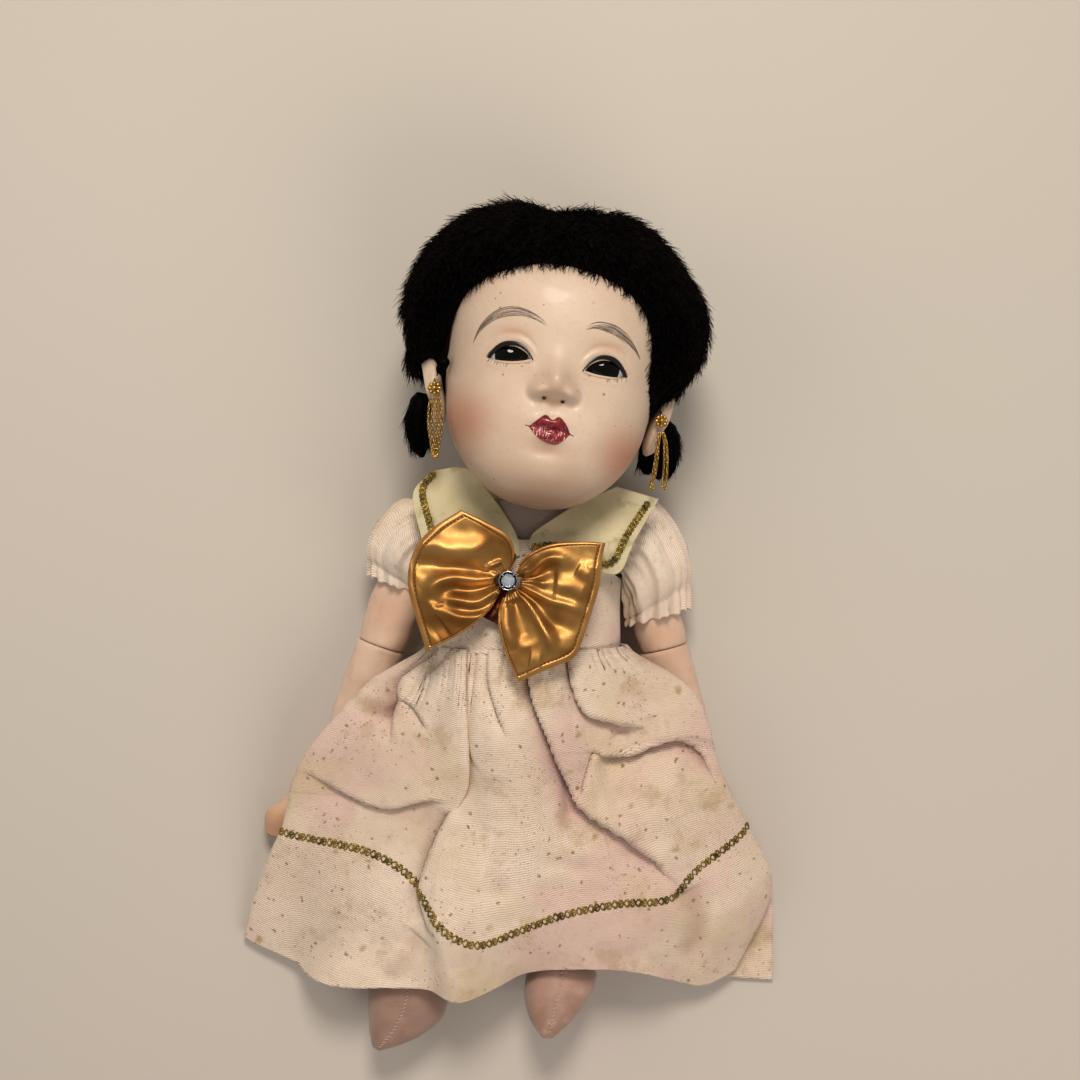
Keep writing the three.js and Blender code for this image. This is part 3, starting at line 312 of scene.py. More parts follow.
class Shade:
    """A material built node by node; each call returns the socket that it makes."""

    def __init__(self, name):
        self.material = bpy.data.materials.new(name)
        self.material.use_nodes = True
        self.tree = self.material.node_tree
        self.tree.nodes.clear()

    def put(self, kind, sockets=None, out=0, **settings):
        node = self.tree.nodes.new(kind)
        for key, value in settings.items():
            setattr(node, key, value)
        for key, value in (sockets or {}).items():
            if isinstance(value, bpy.types.NodeSocket):
                self.tree.links.new(value, node.inputs[key])
            elif value is not None:
                node.inputs[key].default_value = value
        return node.outputs[out]

    def attribute(self, name, out="Vector"):
        return self.put("ShaderNodeAttribute", out=out, attribute_name=name)

    def math(self, operation, a, b=None, c=None):
        return self.put("ShaderNodeMath", {0: a, 1: b, 2: c}, operation=operation)

    def vector(self, operation, a, b=None, out=0):
        key = 3 if operation == "SCALE" else 1
        return self.put("ShaderNodeVectorMath", {0: a, key: b}, out=out, operation=operation)

    def parts(self, vector):
        node = self.tree.nodes.new("ShaderNodeSeparateXYZ")
        self.tree.links.new(vector, node.inputs[0])
        return node.outputs

    def noise(self, place, scale, detail=3.0, rough=0.55, distortion=0.0, stretch=None):
        if stretch is not None:
            place = self.vector("MULTIPLY", place, stretch)
        return self.put(
            "ShaderNodeTexNoise",
            {"Vector": place, "Scale": scale, "Detail": detail, "Roughness": rough,
             "Distortion": distortion},
        )

    def cells(self, place, scale, out="Distance", feature="F1", random=1.0):
        return self.put(
            "ShaderNodeTexVoronoi", {"Vector": place, "Scale": scale,
                                     "Randomness": random}, out=out, feature=feature
        )

    def level(self, value, low, high, to_low=0.0, to_high=1.0):
        return self.put(
            "ShaderNodeMapRange", {0: value, 1: low, 2: high, 3: to_low,
                                   4: to_high}, interpolation_type="SMOOTHSTEP"
        )

    def mix(self, share, a, b, blend="MIX"):
        return self.put("ShaderNodeMix", {0: share, 6: a, 7: b}, out=2, data_type="RGBA", blend_type=blend)

    def bump(self, height, strength, distance, normal=None):
        return self.put("ShaderNodeBump", {"Height": height, "Strength": strength, "Distance": distance,
                                           "Normal": normal})

    def done(self, color, rough=0.8, normal=None, **fixed):
        sockets = {"Base Color": color, "Roughness": rough, "Normal": normal}
        sockets.update({key.replace("_", " "): value for key, value in fixed.items()})
        shader = self.put("ShaderNodeBsdfPrincipled", sockets)
        output = self.tree.nodes.new("ShaderNodeOutputMaterial")
        self.tree.links.new(shader, output.inputs[0])
        return self.material


# Camera, light and floor
def aim(obj, target):
    way = Vector(target) - obj.location
    obj.rotation_euler = way.to_track_quat("-Z", "Y").to_euler()


def add_stage():
    scene = bpy.context.scene
    scene.view_settings.view_transform = "Standard"
    camera = bpy.data.cameras.new("camera")
    camera.sensor_width = 36
    camera.lens = 36 * 1700 / 1080
    camera.clip_start = 0.01
    eye = bpy.data.objects.new("camera", camera)
    eye.location = (0.004, 0.015, 0.55)
    scene.collection.objects.link(eye)
    scene.camera = eye
    lamps = [
        ("key", (0.02, 0.46, 0.7), 0.26, 5.4, (1.0, 0.95, 0.88)),
        ("fill", (-0.5, 0.08, 0.5), 0.5, 0.9, (1.0, 0.96, 0.92)),
        ("foot", (0.36, -0.45, 0.6), 0.6, 2.7, (1.0, 0.96, 0.92)),
    ]
    for name, place, size, power, color in lamps:
        light = bpy.data.lights.new(name, "AREA")
        light.shape = "DISK"
        light.size = size
        light.energy = power
        light.color = color
        lamp = bpy.data.objects.new(name, light)
        lamp.location = place
        lamp.visible_glossy = name == "key"
        aim(lamp, (0.004, 0.01, 0.03))
        scene.collection.objects.link(lamp)
    world = bpy.data.worlds.new("world")
    scene.world = world
    world.use_nodes = True
    tree = world.node_tree
    tree.nodes.clear()
    background = tree.nodes.new("ShaderNodeBackground")
    background.inputs[0].default_value = (0.93, 0.9, 0.86, 1)
    background.inputs[1].default_value = 0.3
    output = tree.nodes.new("ShaderNodeOutputWorld")
    tree.links.new(background.outputs[0], output.inputs[0])
    size = 1500
    floor = new_object("floor", [(-size, -size, 0), (size, -size, 0), (size, size, 0), (-size, size, 0)],
                       [(0, 1, 2, 3)])
    shade = Shade("floor_paint")
    place = shade.put("ShaderNodeTexCoord", out="Object")
    tint = shade.noise(place, 3.0, 2.0)
    color = shade.mix(tint, rgb("b5b0a1"), rgb("bbaba2"))
    floor.data.materials.append(shade.done(color, 0.9))
    floor.location.z = -0.0002


# Head shape, in its own frame
HEAD = Matrix.Translation((7.498, 66.476, 41)) @ Matrix.Rotation(math.radians(3), 4, "Y") @ Matrix.Rotation(
    math.radians(-8), 4, "Z"
)
HEAD_TURN = np.array(HEAD)[:3, :3]
HEAD_AT = np.array(HEAD)[:3, 3]
HEAD_SIZE = (84.5, 33.0, 39.0)
CHIN_SHARE = 0.51
HEAD_POWER = 2.3
head_table = table([
    (0.0, 0.03, 0.55, 0.45), (0.012, 0.21, 0.645, 0.3), (0.035, 0.37, 0.735, 0.16), (0.08, 0.54, 0.815,
            -0.02),
    (0.15, 0.71, 0.88, -0.26),
    (0.25, 0.85, 0.92, -0.56), (0.37, 0.92, 0.935, -0.8), (0.5, 0.955, 0.95, -0.92), (0.64, 1.0, 0.975,
            -0.97),
    (0.76, 0.96, 0.92, -0.95), (0.87, 0.79, 0.74, -0.82), (0.95, 0.52, 0.46, -0.54), (0.99, 0.24, 0.2,
            -0.26),
    (1.0, 0.03, 0.03, -0.03),
])


def to_world(points):
    return np.asarray(points, float) @ HEAD_TURN.T + HEAD_AT


def to_head(points):
    return (np.asarray(points, float) - HEAD_AT) @ HEAD_TURN


# Eyes: middle of the corners, tilt, half width, height above and below the corners
EYES = {
    "right": {"at": (-13.27, -2.72), "tilt": 2.4, "half": 6.5, "up": 4.65, "down": 1.4,
              "iris": (-13.11, -1.41)},
    "left": {"at": (13.47, -3.23), "tilt": 3.3, "half": 6.7, "up": 5.0, "down": 1.15,
             "iris": (12.97, -1.39)},
}


def eye_outline(side, count=64, grow=0.0):
    """Points round an eye's opening in the head's x and y, from the left corner over the top."""
    e = EYES[side]
    t = np.linspace(0, 1, count, endpoint=False)
    upper = t < 0.5
    x = np.where(upper, 4 * t - 1, 3 - 4 * t)
    bulge = 1 - np.abs(x) ** 2.3
    y = np.where(upper, e["up"] * bulge**0.86, -e["down"] * (1 - x**2))
    x, y = x * (e["half"] + grow), y + grow * np.where(upper, 1, -1) * np.minimum(bulge * 3, 1)
    turn = math.radians(e["tilt"])
    return np.stack([
        e["at"][0] + x * math.cos(turn) - y * math.sin(turn),
        e["at"][1] + x * math.sin(turn) + y * math.cos(turn),
    ], -1)


def eye_level(x, y, side):
    """Place of a point in an eye's own frame: across and up."""
    e = EYES[side]
    turn = -math.radians(e["tilt"])
    dx, dy = x - e["at"][0], y - e["at"][1]
    return dx * math.cos(turn) - dy * math.sin(turn), dx * math.sin(turn) + dy * math.cos(turn)


def face_relief(x, y):
    side = np.abs(x)
    rise = smooth(-y, -6.0, 7.0)
    under = smooth(y, -14.3, -10.3)
    tip = 5.6 * bell(x, 3.9) * bell(y + 8.9, np.where(y > -8.9, 4.8, 4.4)) * under
    ridge = tip + 2.1 * rise * smooth(y, -11.0, -5.0) * bell(x, 3.0 + 0.9 * rise)
    wing = 3.1 * bell(side - 4.7, 2.2) * bell(y + 10.7, 2.5) * smooth(y, -14.0, -11.6)
    groove = -0.4 * bell(np.hypot(side - 4.6, (y + 10.9) * 1.05) - 3.3, 0.8) * smooth(side, 4.0, 6.2)
    nostril = -1.3 * bell(side - 2.6, 1.1) * bell(y + 12.6, 0.9)
    between = 0.5 * bell(x, 1.4) * bell(y + 12.8, 1.3)
    philtrum = -0.4 * bell(x, 1.2) * bell(y + 16.2, 1.7)
    upper_lip = 1.7 * bell(x, 4.2) * bell(y + 18.9, 1.9)
    lower_lip = 2.1 * bell(x - 0.4, 3.7) * bell(y + 22.7, 1.8)
    part = -0.8 * bell(y + 20.6 + 0.06 * x, 0.65) * bell(x, 4.6)
    below = -0.9 * bell(x, 5) * bell(y + 26.9, 1.9)
    cheek = 1.3 * bell(side - 15.5, 9) * bell(y + 18, 9)
    chin = 1.5 * bell(x, 6.5) * bell(y + 34.5, 6)
    socket = -1.3 * bell(side - 13, 6.8) * bell(y + 1.2, 6.2)
    height = ridge + wing + groove + nostril + between + philtrum + upper_lip + lower_lip + part + below
    height = height + cheek + chin + socket
    for name in EYES:
        across, up = eye_level(x, y, name)
        e = EYES[name]
        bulge = np.clip(1 - np.abs(across / (e["half"] + 0.6)) ** 2.3, 0, 1)
        lid = e["up"] * bulge**0.86
        near = np.minimum(bulge * 2.5, 1)
        height = height + near * (0.55 * bell(up - lid - 0.9, 0.75) - 0.35 * bell(up - lid - 2.5, 0.7))
        low = -e["down"] * bulge
        height = height + near * 0.35 * bell(up - low + 1.0, 0.9)
    return height


def head_point(turn, share, lift=0.0, relief=True):
    wide, front, back = head_table(share)
    middle = (front + back) / 2 * HEAD_SIZE[2]
    deep = (front - back) / 2 * HEAD_SIZE[2] + lift
    x, z = rounded(turn, wide * HEAD_SIZE[1] + lift, deep, HEAD_POWER)
    end = np.sign(share - 0.5) * np.abs(1 - 2 * share) ** 3
    y = (share - CHIN_SHARE) * HEAD_SIZE[0] + lift * end
    z = middle + z
    if relief:
        z = z + smooth(np.sin(turn), 0.25, 0.75) * face_relief(x, y)
    return np.stack(np.broadcast_arrays(x, y, z), -1)


def face_point(x, y, lift=0.0):
    """Points on the front of the head at places x and y of its own frame, a little off it."""
    x, y = np.broadcast_arrays(np.asarray(x, float), np.asarray(y, float))

    def height(px, py):
        share = np.clip(py / HEAD_SIZE[0] + CHIN_SHARE, 0, 1)
        wide, front, back = head_table(share)
        c = np.clip(np.abs(px) / np.maximum(wide * HEAD_SIZE[1], 1e-6), 0, 1) ** (HEAD_POWER / 2)
        s = np.sqrt(1 - c**2)
        middle, deep = (front + back) / 2 * HEAD_SIZE[2], (front - back) / 2 * HEAD_SIZE[2]
        return middle + deep * s ** (2 / HEAD_POWER) + smooth(s, 0.25, 0.75) * face_relief(px, py)

    z = height(x, y)
    step = 0.15
    slope_x = (height(x + step, y) - height(x - step, y)) / (2 * step)
    slope_y = (height(x, y + step) - height(x, y - step)) / (2 * step)
    normal = np.stack([-slope_x, -slope_y, np.ones_like(z)], -1)
    normal /= np.linalg.norm(normal, axis=-1, keepdims=True)
    return np.stack([x, y, z], -1) + normal * np.asarray(lift, float)[..., None], normal


# Head pieces
def skin_material():
    s = Shade("head_paint")
    place = s.attribute("face")
    x, y, z = s.parts(place)
    broad = s.noise(place, 0.05, 3.0)
    color = s.mix(s.level(broad, 0.35, 0.7), rgb("c5ad97"), rgb("bda28b"))
    fine = s.noise(place, 0.9, 4.0)
    color = s.mix(s.level(fine, 0.5, 0.8, 0.0, 0.5), color, rgb("b9967a"))

    def spot(cx, cy, wide, high, tint, share):
        nonlocal color
        dx = s.math("DIVIDE", s.math("SUBTRACT", x, cx), wide)
        dy = s.math("DIVIDE", s.math("SUBTRACT", y, cy), high)
        far = s.math("SQRT", s.math("ADD", s.math("MULTIPLY", dx, dx), s.math("MULTIPLY", dy, dy)))
        front = s.level(z, 6.0, 16.0)
        amount = s.math("MULTIPLY", s.level(far, 0.0, 1.0, share, 0.0), front)
        color = s.mix(amount, color, tint)

    spot(-25.5, -21.5, 14.5, 15.0, rgb("a9694a"), 0.8)
    spot(23.5, -25.0, 14.0, 13.5, rgb("a9664a"), 0.7)
    spot(-13.2, 4.9, 9.0, 3.0, rgb("b98a68"), 0.4)
    spot(13.2, 4.6, 9.0, 3.0, rgb("b98a68"), 0.4)
    # Painted shade: a darker band on the skin under the nose.
    spot(0.0, -13.4, 5.5, 1.8, rgb("9c7355"), 0.55)
    # Painted shade: darker skin in the dip under the lower lip.
    spot(0.3, -27.2, 6.5, 2.4, rgb("a37d61"), 0.55)
    spot(0.0, -9.5, 8.0, 7.0, rgb("b08b6c"), 0.34)
    # Painted shade: near-black in the two nostril dents.
    spot(-2.6, -12.5, 1.05, 0.7, rgb("2c150c"), 1.4)
    spot(2.7, -12.8, 1.05, 0.7, rgb("2c150c"), 1.4)
    # Painted shade: the jaw and the underside of the chin are darkened.
    spot(0.0, -47.0, 36.0, 19.0, rgb("775843"), 0.95)
    spot(-30.0, -30.0, 16.0, 20.0, rgb("8a6650"), 0.35)
    spot(13.97, -8.87, 0.6, 0.6, rgb("6a3a22"), 1.0)
    # Painted shade: the face darkens towards the chin.
    low = s.level(y, -44.0, -18.0, 0.34, 0.0)
    color = s.mix(low, color, rgb("8a6b52"))
    spot(0.0, 33.0, 40.0, 13.0, rgb("a5836a"), 0.55)
    cells = s.cells(s.vector("ADD", place, (0.0, 40.0, 0.0)), 0.21)
    pick = s.noise(place, 0.11, 1.0)
    specks = s.math("MULTIPLY", s.level(cells, 0.04, 0.085, 1.0, 0.0), s.level(pick, 0.46, 0.56))
    color = s.mix(s.math("MULTIPLY", specks, 0.75), color, rgb("6d4630"))
    worn = s.math("MULTIPLY", s.level(s.cells(place, 0.3), 0.05, 0.16, 1.0, 0.0),
                  s.level(s.noise(place, 0.16, 1.0), 0.5, 0.6))
    color = s.mix(s.math("MULTIPLY", worn, s.level(y, 2.0, 14.0, 0.12, 0.5)), color, rgb("a37c58"))
    rough = s.level(s.noise(place, 0.35, 3.0), 0.3, 0.75, 0.44, 0.58)
    tip = s.vector("SUBTRACT", place, (-0.25, -8.0, 0.0))
    tip = s.vector("MULTIPLY", tip, (1.0, 1.0, 0.0))
    rough = s.math("SUBTRACT", rough, s.level(s.vector("LENGTH", tip, out=1), 1.5, 6.0, 0.24, 0.0))
    bumps = s.bump(s.noise(place, 0.5, 3.0), 0.1, 0.0004)
    return s.done(color, rough, bumps, Specular_IOR_Level=0.34, Coat_Weight=0.05, Coat_Roughness=0.06)


def black_hair_material(name, tip=False):
    s = Shade(name)
    place = s.attribute("rest")
    tone = s.noise(place, 0.6, 3.0)
    color = s.mix(s.level(tone, 0.4, 0.75), rgb("000000"), rgb("030202"))
    if tip:
        along = s.attribute("along", "Fac")
        color = s.mix(s.level(along, 0.8, 1.0, 0.0, 0.6), color, rgb("2a1a13"))
    return s.done(color, 0.6, Specular_IOR_Level=0.04)


def put_on(obj, material, body, *nodes, slot=None):
    obj.data.materials.clear()
    obj.data.materials.append(material)
    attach(obj, body)
    if nodes:
        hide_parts(*nodes)
    return obj


def apply_modifiers(obj):
    graph = bpy.context.evaluated_depsgraph_get()
    mesh = bpy.data.meshes.new_from_object(obj.evaluated_get(graph))
    obj.modifiers.clear()
    obj.data = mesh


def cut(obj, cutter, operation="DIFFERENCE"):
    modifier = obj.modifiers.new("cut", "BOOLEAN")
    modifier.operation = operation
    modifier.object = cutter
    modifier.solver = "EXACT"
    apply_modifiers(obj)
    bpy.data.objects.remove(cutter)


def add_head():
    front = np.arccos(lerp(np.cos(np.linspace(0, np.pi, 151)), np.linspace(1, -1, 151), 0.6))
    front = np.arccos(np.sign(np.cos(front)) * np.abs(np.cos(front)) ** (HEAD_POWER / 2))
    behind = np.linspace(np.pi, 2 * np.pi, 62)[1:-1]
    turns = np.concatenate([front, behind])
    steps = np.linspace(0, 1, 202)[1:-1]
    shares = lerp((1 - np.cos(np.pi * steps)) / 2, steps, 0.45)
    rings = head_point(turns[None, :], shares[:, None])
    obj = rings_object("head_skin", to_world(rings), {"face": rings})
    for side in EYES:
        rim = eye_outline(side, 72)
        top, _ = face_point(rim[:, 0], rim[:, 1], 3.0)
        middle = rim.mean(0)
        low = middle + (rim - middle) * 0.97
        floor = np.concatenate([low, np.full((len(low), 1), top[:, 2].mean() - 8.0)], 1)
        cutter = rings_object("cutter", to_world(np.stack([floor, top])))
        cut(obj, cutter)
    bore = []
    for z in (28.0, 47.5):
        turn = np.linspace(0, 2 * np.pi, 40, endpoint=False)
        bore.append(np.stack([5.5 + 8.5 * np.cos(turn), np.full(40, z), 29 + 8.5 * np.sin(turn)], -1))
    cut(obj, rings_object("bore", np.array(bore), flip=True))
    places = np.empty(len(obj.data.vertices) * 3)
    obj.data.vertices.foreach_get("co", places)
    if "face" in obj.data.attributes:
        obj.data.attributes.remove(obj.data.attributes["face"])
    layer = obj.data.attributes.new("face", "FLOAT_VECTOR", "POINT")
    layer.data.foreach_set("vector", to_head(places.reshape(-1, 3) / MM).astype(np.float32).ravel())
    put_on(obj, skin_material(), "head", "head", slot="painted_skin")
    add_ears(obj.data.materials[0])


def add_ears(paint):
    """Each ear is a cupped shell with a rolled rim, a hollow and a lobe."""
    for side, way in (("left", 1), ("right", -1)):
        rows, columns = 40, 48
        u = np.linspace(0, 1, rows)[:, None]
        turn = np.linspace(0, 2 * np.pi, columns, endpoint=False)[None, :]
        wide = 6.3 * (1 - 0.12 * np.sin(turn)) * (1 + 0.1 * np.cos(turn))
        z = u * wide * np.cos(turn) + 0.8 * np.sin(turn) * u
        y = u * 10.3 * np.sin(turn) * (1 - 0.04 * np.cos(turn))
        reach = u
        rim = 1.7 * bell(reach - 0.84, 0.13) * smooth(np.sin(turn), -0.75, 0.2)
        inner = 1.1 * bell(reach - 0.48, 0.12) * smooth(-np.cos(turn), -0.4, 0.6) * smooth(np.sin(turn),
                -0.7, 0.4)
        hollow = -1.3 * bell(np.hypot(z / 2.2, (y + 1.2) / 4.2), 1)
        lobe = 0.9 * bell(np.hypot((z - 0.4) / 2.6, (y + 8.4) / 2.4), 1)
        x = 2.6 + rim + inner + hollow + lobe - 2.2 * reach**6
        outer = np.stack(np.broadcast_arrays(way * x, y, z), -1)
        back = np.stack(np.broadcast_arrays(way * (-1.6 + 1.4 * reach**4), y * 0.97, z * 0.95), -1)
        shell = np.concatenate([outer, back[::-1]])
        lean = -way * math.radians(17 if way < 0 else 10)
        turned = shell.copy()
        turned[..., 0] = shell[..., 0] * math.cos(lean) - shell[..., 1] * math.sin(lean)
        turned[..., 1] = shell[..., 0] * math.sin(lean) + shell[..., 1] * math.cos(lean)
        turned += np.array([way * 32.6, -12.0, 2.6])
        obj = rings_object(f"{side}_ear", to_world(turned), {"face": turned}, flip=way > 0)
        put_on(obj, paint, "head", slot="painted_skin")


def add_eyes():
    s = Shade("eye_glass_paint")
    place = s.attribute("face")
    x, y, z = s.parts(place)
    far = s.math("SQRT", s.math("ADD", s.math("MULTIPLY", x, x), s.math("MULTIPLY", y, y)))
    streak = s.noise(place, 1.2, 3.0)
    iris = s.mix(s.level(far, 1.6, 3.4), rgb("000000"), s.mix(streak, rgb("020101"), rgb("080402")))
    rim = s.mix(s.level(far, 3.5, 4.0), iris, rgb("050303"))
    # Painted shade: the whites darken towards the eye's corners, under the lids.
    white = s.mix(s.level(s.math("ABSOLUTE", x), 4.4, 6.6), rgb("a3a6ac"), rgb("6d605d"))
    color = s.mix(s.level(far, 4.55, 4.85), rim, white)
    paint = s.done(color, 0.04, Specular_IOR_Level=0.24)
    for side, e in EYES.items():
        rows, columns = 44, 56
        lean = np.linspace(0, np.pi, rows + 2)[1:-1][:, None]
        turn = np.linspace(0, 2 * np.pi, columns, endpoint=False)[None, :]
        ball = np.stack([
            7.6 * np.sin(lean) * np.cos(turn),
            5.6 * np.sin(lean) * np.sin(turn),
            6.6 * np.cos(lean) + 0 * turn,
        ], -1)
        top, _ = face_point(e["iris"][0], e["iris"][1])
        cx, cy = e["iris"]
        ridge = face_point(cx, cy)[0][2]
        centre = np.array([cx, cy - 0.1, ridge - 0.75 - 6.6])
        local = ball + np.array([0.0, 0.0, 0.0])
        obj = rings_object(f"{side}_eye_ball", to_world(ball + centre), {"face": local}, flip=True)
        put_on(obj, paint, "head", f"{side}_eye", slot="eye_glass")


def ribbon_on_face(pile, centre, half, lift, thick=0.05):
    """A flat strip on the face along centre points, half wide at each, tapering where half does."""
    centre = np.asarray(centre, float)
    way = np.gradient(centre, axis=0)
    way /= np.maximum(np.linalg.norm(way, axis=1, keepdims=True), 1e-9)
    side = np.stack([-way[:, 1], way[:, 0]], -1)
    left = centre + side * half[:, None]
    right = centre - side * half[:, None]
    rows = []
    for edge, up in ((left, 0), (right, 0), (right, 1), (left, 1)):
        points, _ = face_point(edge[:, 0], edge[:, 1], lift + (thick if up else -0.25))
        rows.append(points)
    pile.add(to_world(np.stack(rows, 1)))


def add_face_paint():
    """Brows, lid lines, lashes and lips, each laid on the surface of the face."""
    rng = np.random.default_rng(11)
    brows = Pile()
    arcs = {
        "right": [(-24.31, 0.6), (-22.74, 4.96), (-18.94, 8.84), (-12.98, 10.38), (-8.52, 9.49),
                  (-4.87, 7.78)],
        "left": [(5.74, 8.1), (9.05, 9.46), (13.62, 9.19), (17.87, 7.56), (20.98, 5.46), (23.24, 2.9)],
    }
    for side, arc in arcs.items():
        arc = np.array(arc)
        for stroke in range(30):
            start = rng.uniform(0.0, 0.62)
            end = min(start + rng.uniform(0.3, 0.55), 1.0)
            line = spline(arc, np.linspace(start, end, 16))
            swell = np.sin(np.pi * np.linspace(start, end, 16)) * 1.25
            offset = (stroke / 29 - 0.5) * 2.5 * (0.3 + 0.6 * swell)
            line[:, 1] += offset + 0.35 * np.sin(np.linspace(0, np.pi, 16)) * rng.uniform(-0.4, 1)
            half = rng.uniform(0.04, 0.085) * np.sin(np.pi * np.linspace(0.03, 0.97, 16)) ** 0.8
            ribbon_on_face(brows, line, half, 0.02)
    obj = brows.done("brow_strokes")
    s = Shade("brow_ink")
    color = s.mix(s.noise(s.attribute("rest"), 0.6, 3.0), rgb("4f443c"), rgb("7c6a5a"))
    put_on(obj, s.done(color, 0.55), "head", slot="painted_skin")

    lids = Pile()
    lashes = Pile()
    lower = Pile()
    for side in EYES:
        rim = eye_outline(side, 120)
        outer_sign = 1 if side == "left" else -1
        upper = eye_outline(side, 120, -0.3)[:61]
        points, normal = face_point(upper[:, 0], upper[:, 1], 0.0)
        share = np.linspace(0, 1, 61)
        thick = 0.78 * np.sin(np.pi * np.clip(lerp(0.06, 0.94, share), 0, 1)) ** 0.45
        outward = share if side == "left" else 1 - share
        thick *= 0.8 + 0.45 * outward
        lids.add(tube_points(to_world(points - normal * 0.22), thick, 10))
        low = np.concatenate([rim[60:], rim[:1]])
        points, normal = face_point(low[:, 0], low[:, 1], 0.0)
        thin = 0.15 + 0.07 * np.sin(np.linspace(0, np.pi, len(low)))
        lower.add(tube_points(to_world(points - normal * 0.12), thin, 8))
        for k in range(15):
            place = rng.uniform(0.52, 0.98) if side == "left" else rng.uniform(0.02, 0.48)
            base_index = int(np.clip((1 - place) * (len(low) - 1), 0, len(low) - 1))
            x, y = low[base_index]
            length = rng.uniform(0.5, 1.05)
            lean = outer_sign * rng.uniform(0.1, 0.6)
            line = np.stack([x + np.linspace(0, lean, 6), y - 0.15 - np.linspace(0, length, 6)], -1)
            ribbon_on_face(lashes, line, np.linspace(0.055, 0.015, 6), 0.02)
        for k in range(9):
            place = rng.uniform(0.03, 0.2) if side == "left" else rng.uniform(0.8, 0.97)
            x, y = low[int((1 - place) * (len(low) - 1))]
            line = np.stack([x - outer_sign * np.linspace(0, 0.2, 6), y - 0.15 - np.linspace(0, 0.5, 6)], -1)
            ribbon_on_face(lashes, line, np.linspace(0.045, 0.015, 6), 0.02)
    ink = Shade("lid_ink")
    black = ink.done(ink.mix(ink.noise(ink.attribute("rest"), 0.5), rgb("070505"), rgb("140d0a")), 0.32)
    put_on(lids.done("upper_lid_lines"), black, "head", slot="eye_glass")
    put_on(lashes.done("lash_strokes"), obj.data.materials[0], "head", slot="painted_skin")
    ink = Shade("lower_lid_paint")
    brown = ink.done(ink.mix(ink.noise(ink.attribute("rest"), 0.5), rgb("8d6750"), rgb("b58f72")), 0.35)
    put_on(lower.done("lower_lid_lines"), brown, "head", slot="painted_skin")
    add_lips()


UPPER_LIP = [(-5.75, -20.85), (-3.9, -19.1), (-1.4, -17.1), (0.6, -18.3), (2.3, -17.2), (4.4, -18.8),
             (6.1, -21.4)]
LIP_PART = [(-5.75, -20.85), (-3.6, -20.8), (-1.6, -20.5), (0.3, -20.95), (2.3, -20.8), (4.2, -21.2),
            (6.1, -21.4)]
LOWER_LIP = [(-5.75, -20.85), (-4.6, -22.0), (-2.9, -23.5), (0.2, -24.75), (2.6, -24.8), (4.6, -23.2),
             (6.1, -21.4)]


def add_lips():
    s = Shade("lip_paint")
    place = s.attribute("face")
    x, y, z = s.parts(place)
    streak = s.noise(place, 1.0, 3.0, 0.6, 0.3, (2.6, 0.45, 1.0))
    upper = s.mix(s.level(streak, 0.4, 0.6), rgb("4a060b"), rgb("90202a"))
    lower = s.mix(s.level(streak, 0.54, 0.62), rgb("7d121b"), rgb("e9b2ac"))
    row = s.level(s.math("ADD", y, s.math("MULTIPLY", x, 0.06)), -21.0, -20.4)
    color = s.mix(row, lower, upper)
    edge = s.level(y, -24.6, -23.6)
    color = s.mix(edge, rgb("8f1f26"), color)
    spot = s.math("ADD", s.math("POWER", s.math("SUBTRACT", x, 0.25), 2.0),
                  s.math("POWER", s.math("ADD", y, 22.2), 2.0))
    color = s.mix(s.level(spot, 0.1, 0.3, 0.8, 0.0), color, rgb("2a0506"))
    bumps = s.bump(streak, 0.5, 0.0003)
    paint = s.done(color, 0.2, bumps, Coat_Weight=0.6, Coat_Roughness=0.1)
    t = np.linspace(0, 1, 64)
    for name, top, bottom in (("upper_lip", UPPER_LIP, LIP_PART), ("lower_lip", LIP_PART, LOWER_LIP)):
        a, b = spline(np.array(top), t), spline(np.array(bottom), t)
        v = np.linspace(0, 1, 16)[:, None, None]
        flat = a[None] * (1 - v) + b[None] * v
        points, normal = face_point(flat[..., 0], flat[..., 1], 0.0)
        pout = 0.1 + 0.32 * np.sin(np.pi * v[..., 0]) ** 0.7 * np.sin(np.pi * t)[None] ** 0.5
        outer = points + normal * pout[..., None]
        obj = sheet_object(name, to_world(outer), 0.5, under=-1, extra=None)
        layer = obj.data.attributes.new("face", "FLOAT_VECTOR", "POINT")
        layer.data.foreach_set("vector", np.tile(outer.reshape(-1, 3), (2, 1)).astype(np.float32).ravel())
        put_on(obj, paint, "head", slot="painted_skin")
    pile = Pile()
    line = spline(np.array([(-6.7, -20.65), *LIP_PART[1:-1], (7.1, -21.75)]), np.linspace(0.0, 1.0, 50))
    points, normal = face_point(line[:, 0], line[:, 1], 0.12)
    pile.add(tube_points(to_world(points), 0.2 * np.sin(np.pi * np.linspace(0.03, 0.97, 50)) ** 0.5 + 0.02,
                         8))
    ink = Shade("lip_line")
    dark = ink.done(ink.mix(ink.noise(ink.attribute("rest"), 0.5), rgb("330608"), rgb("4c0b0e")), 0.4)
    put_on(pile.done("lip_part_line"), dark, "head", slot="painted_skin")


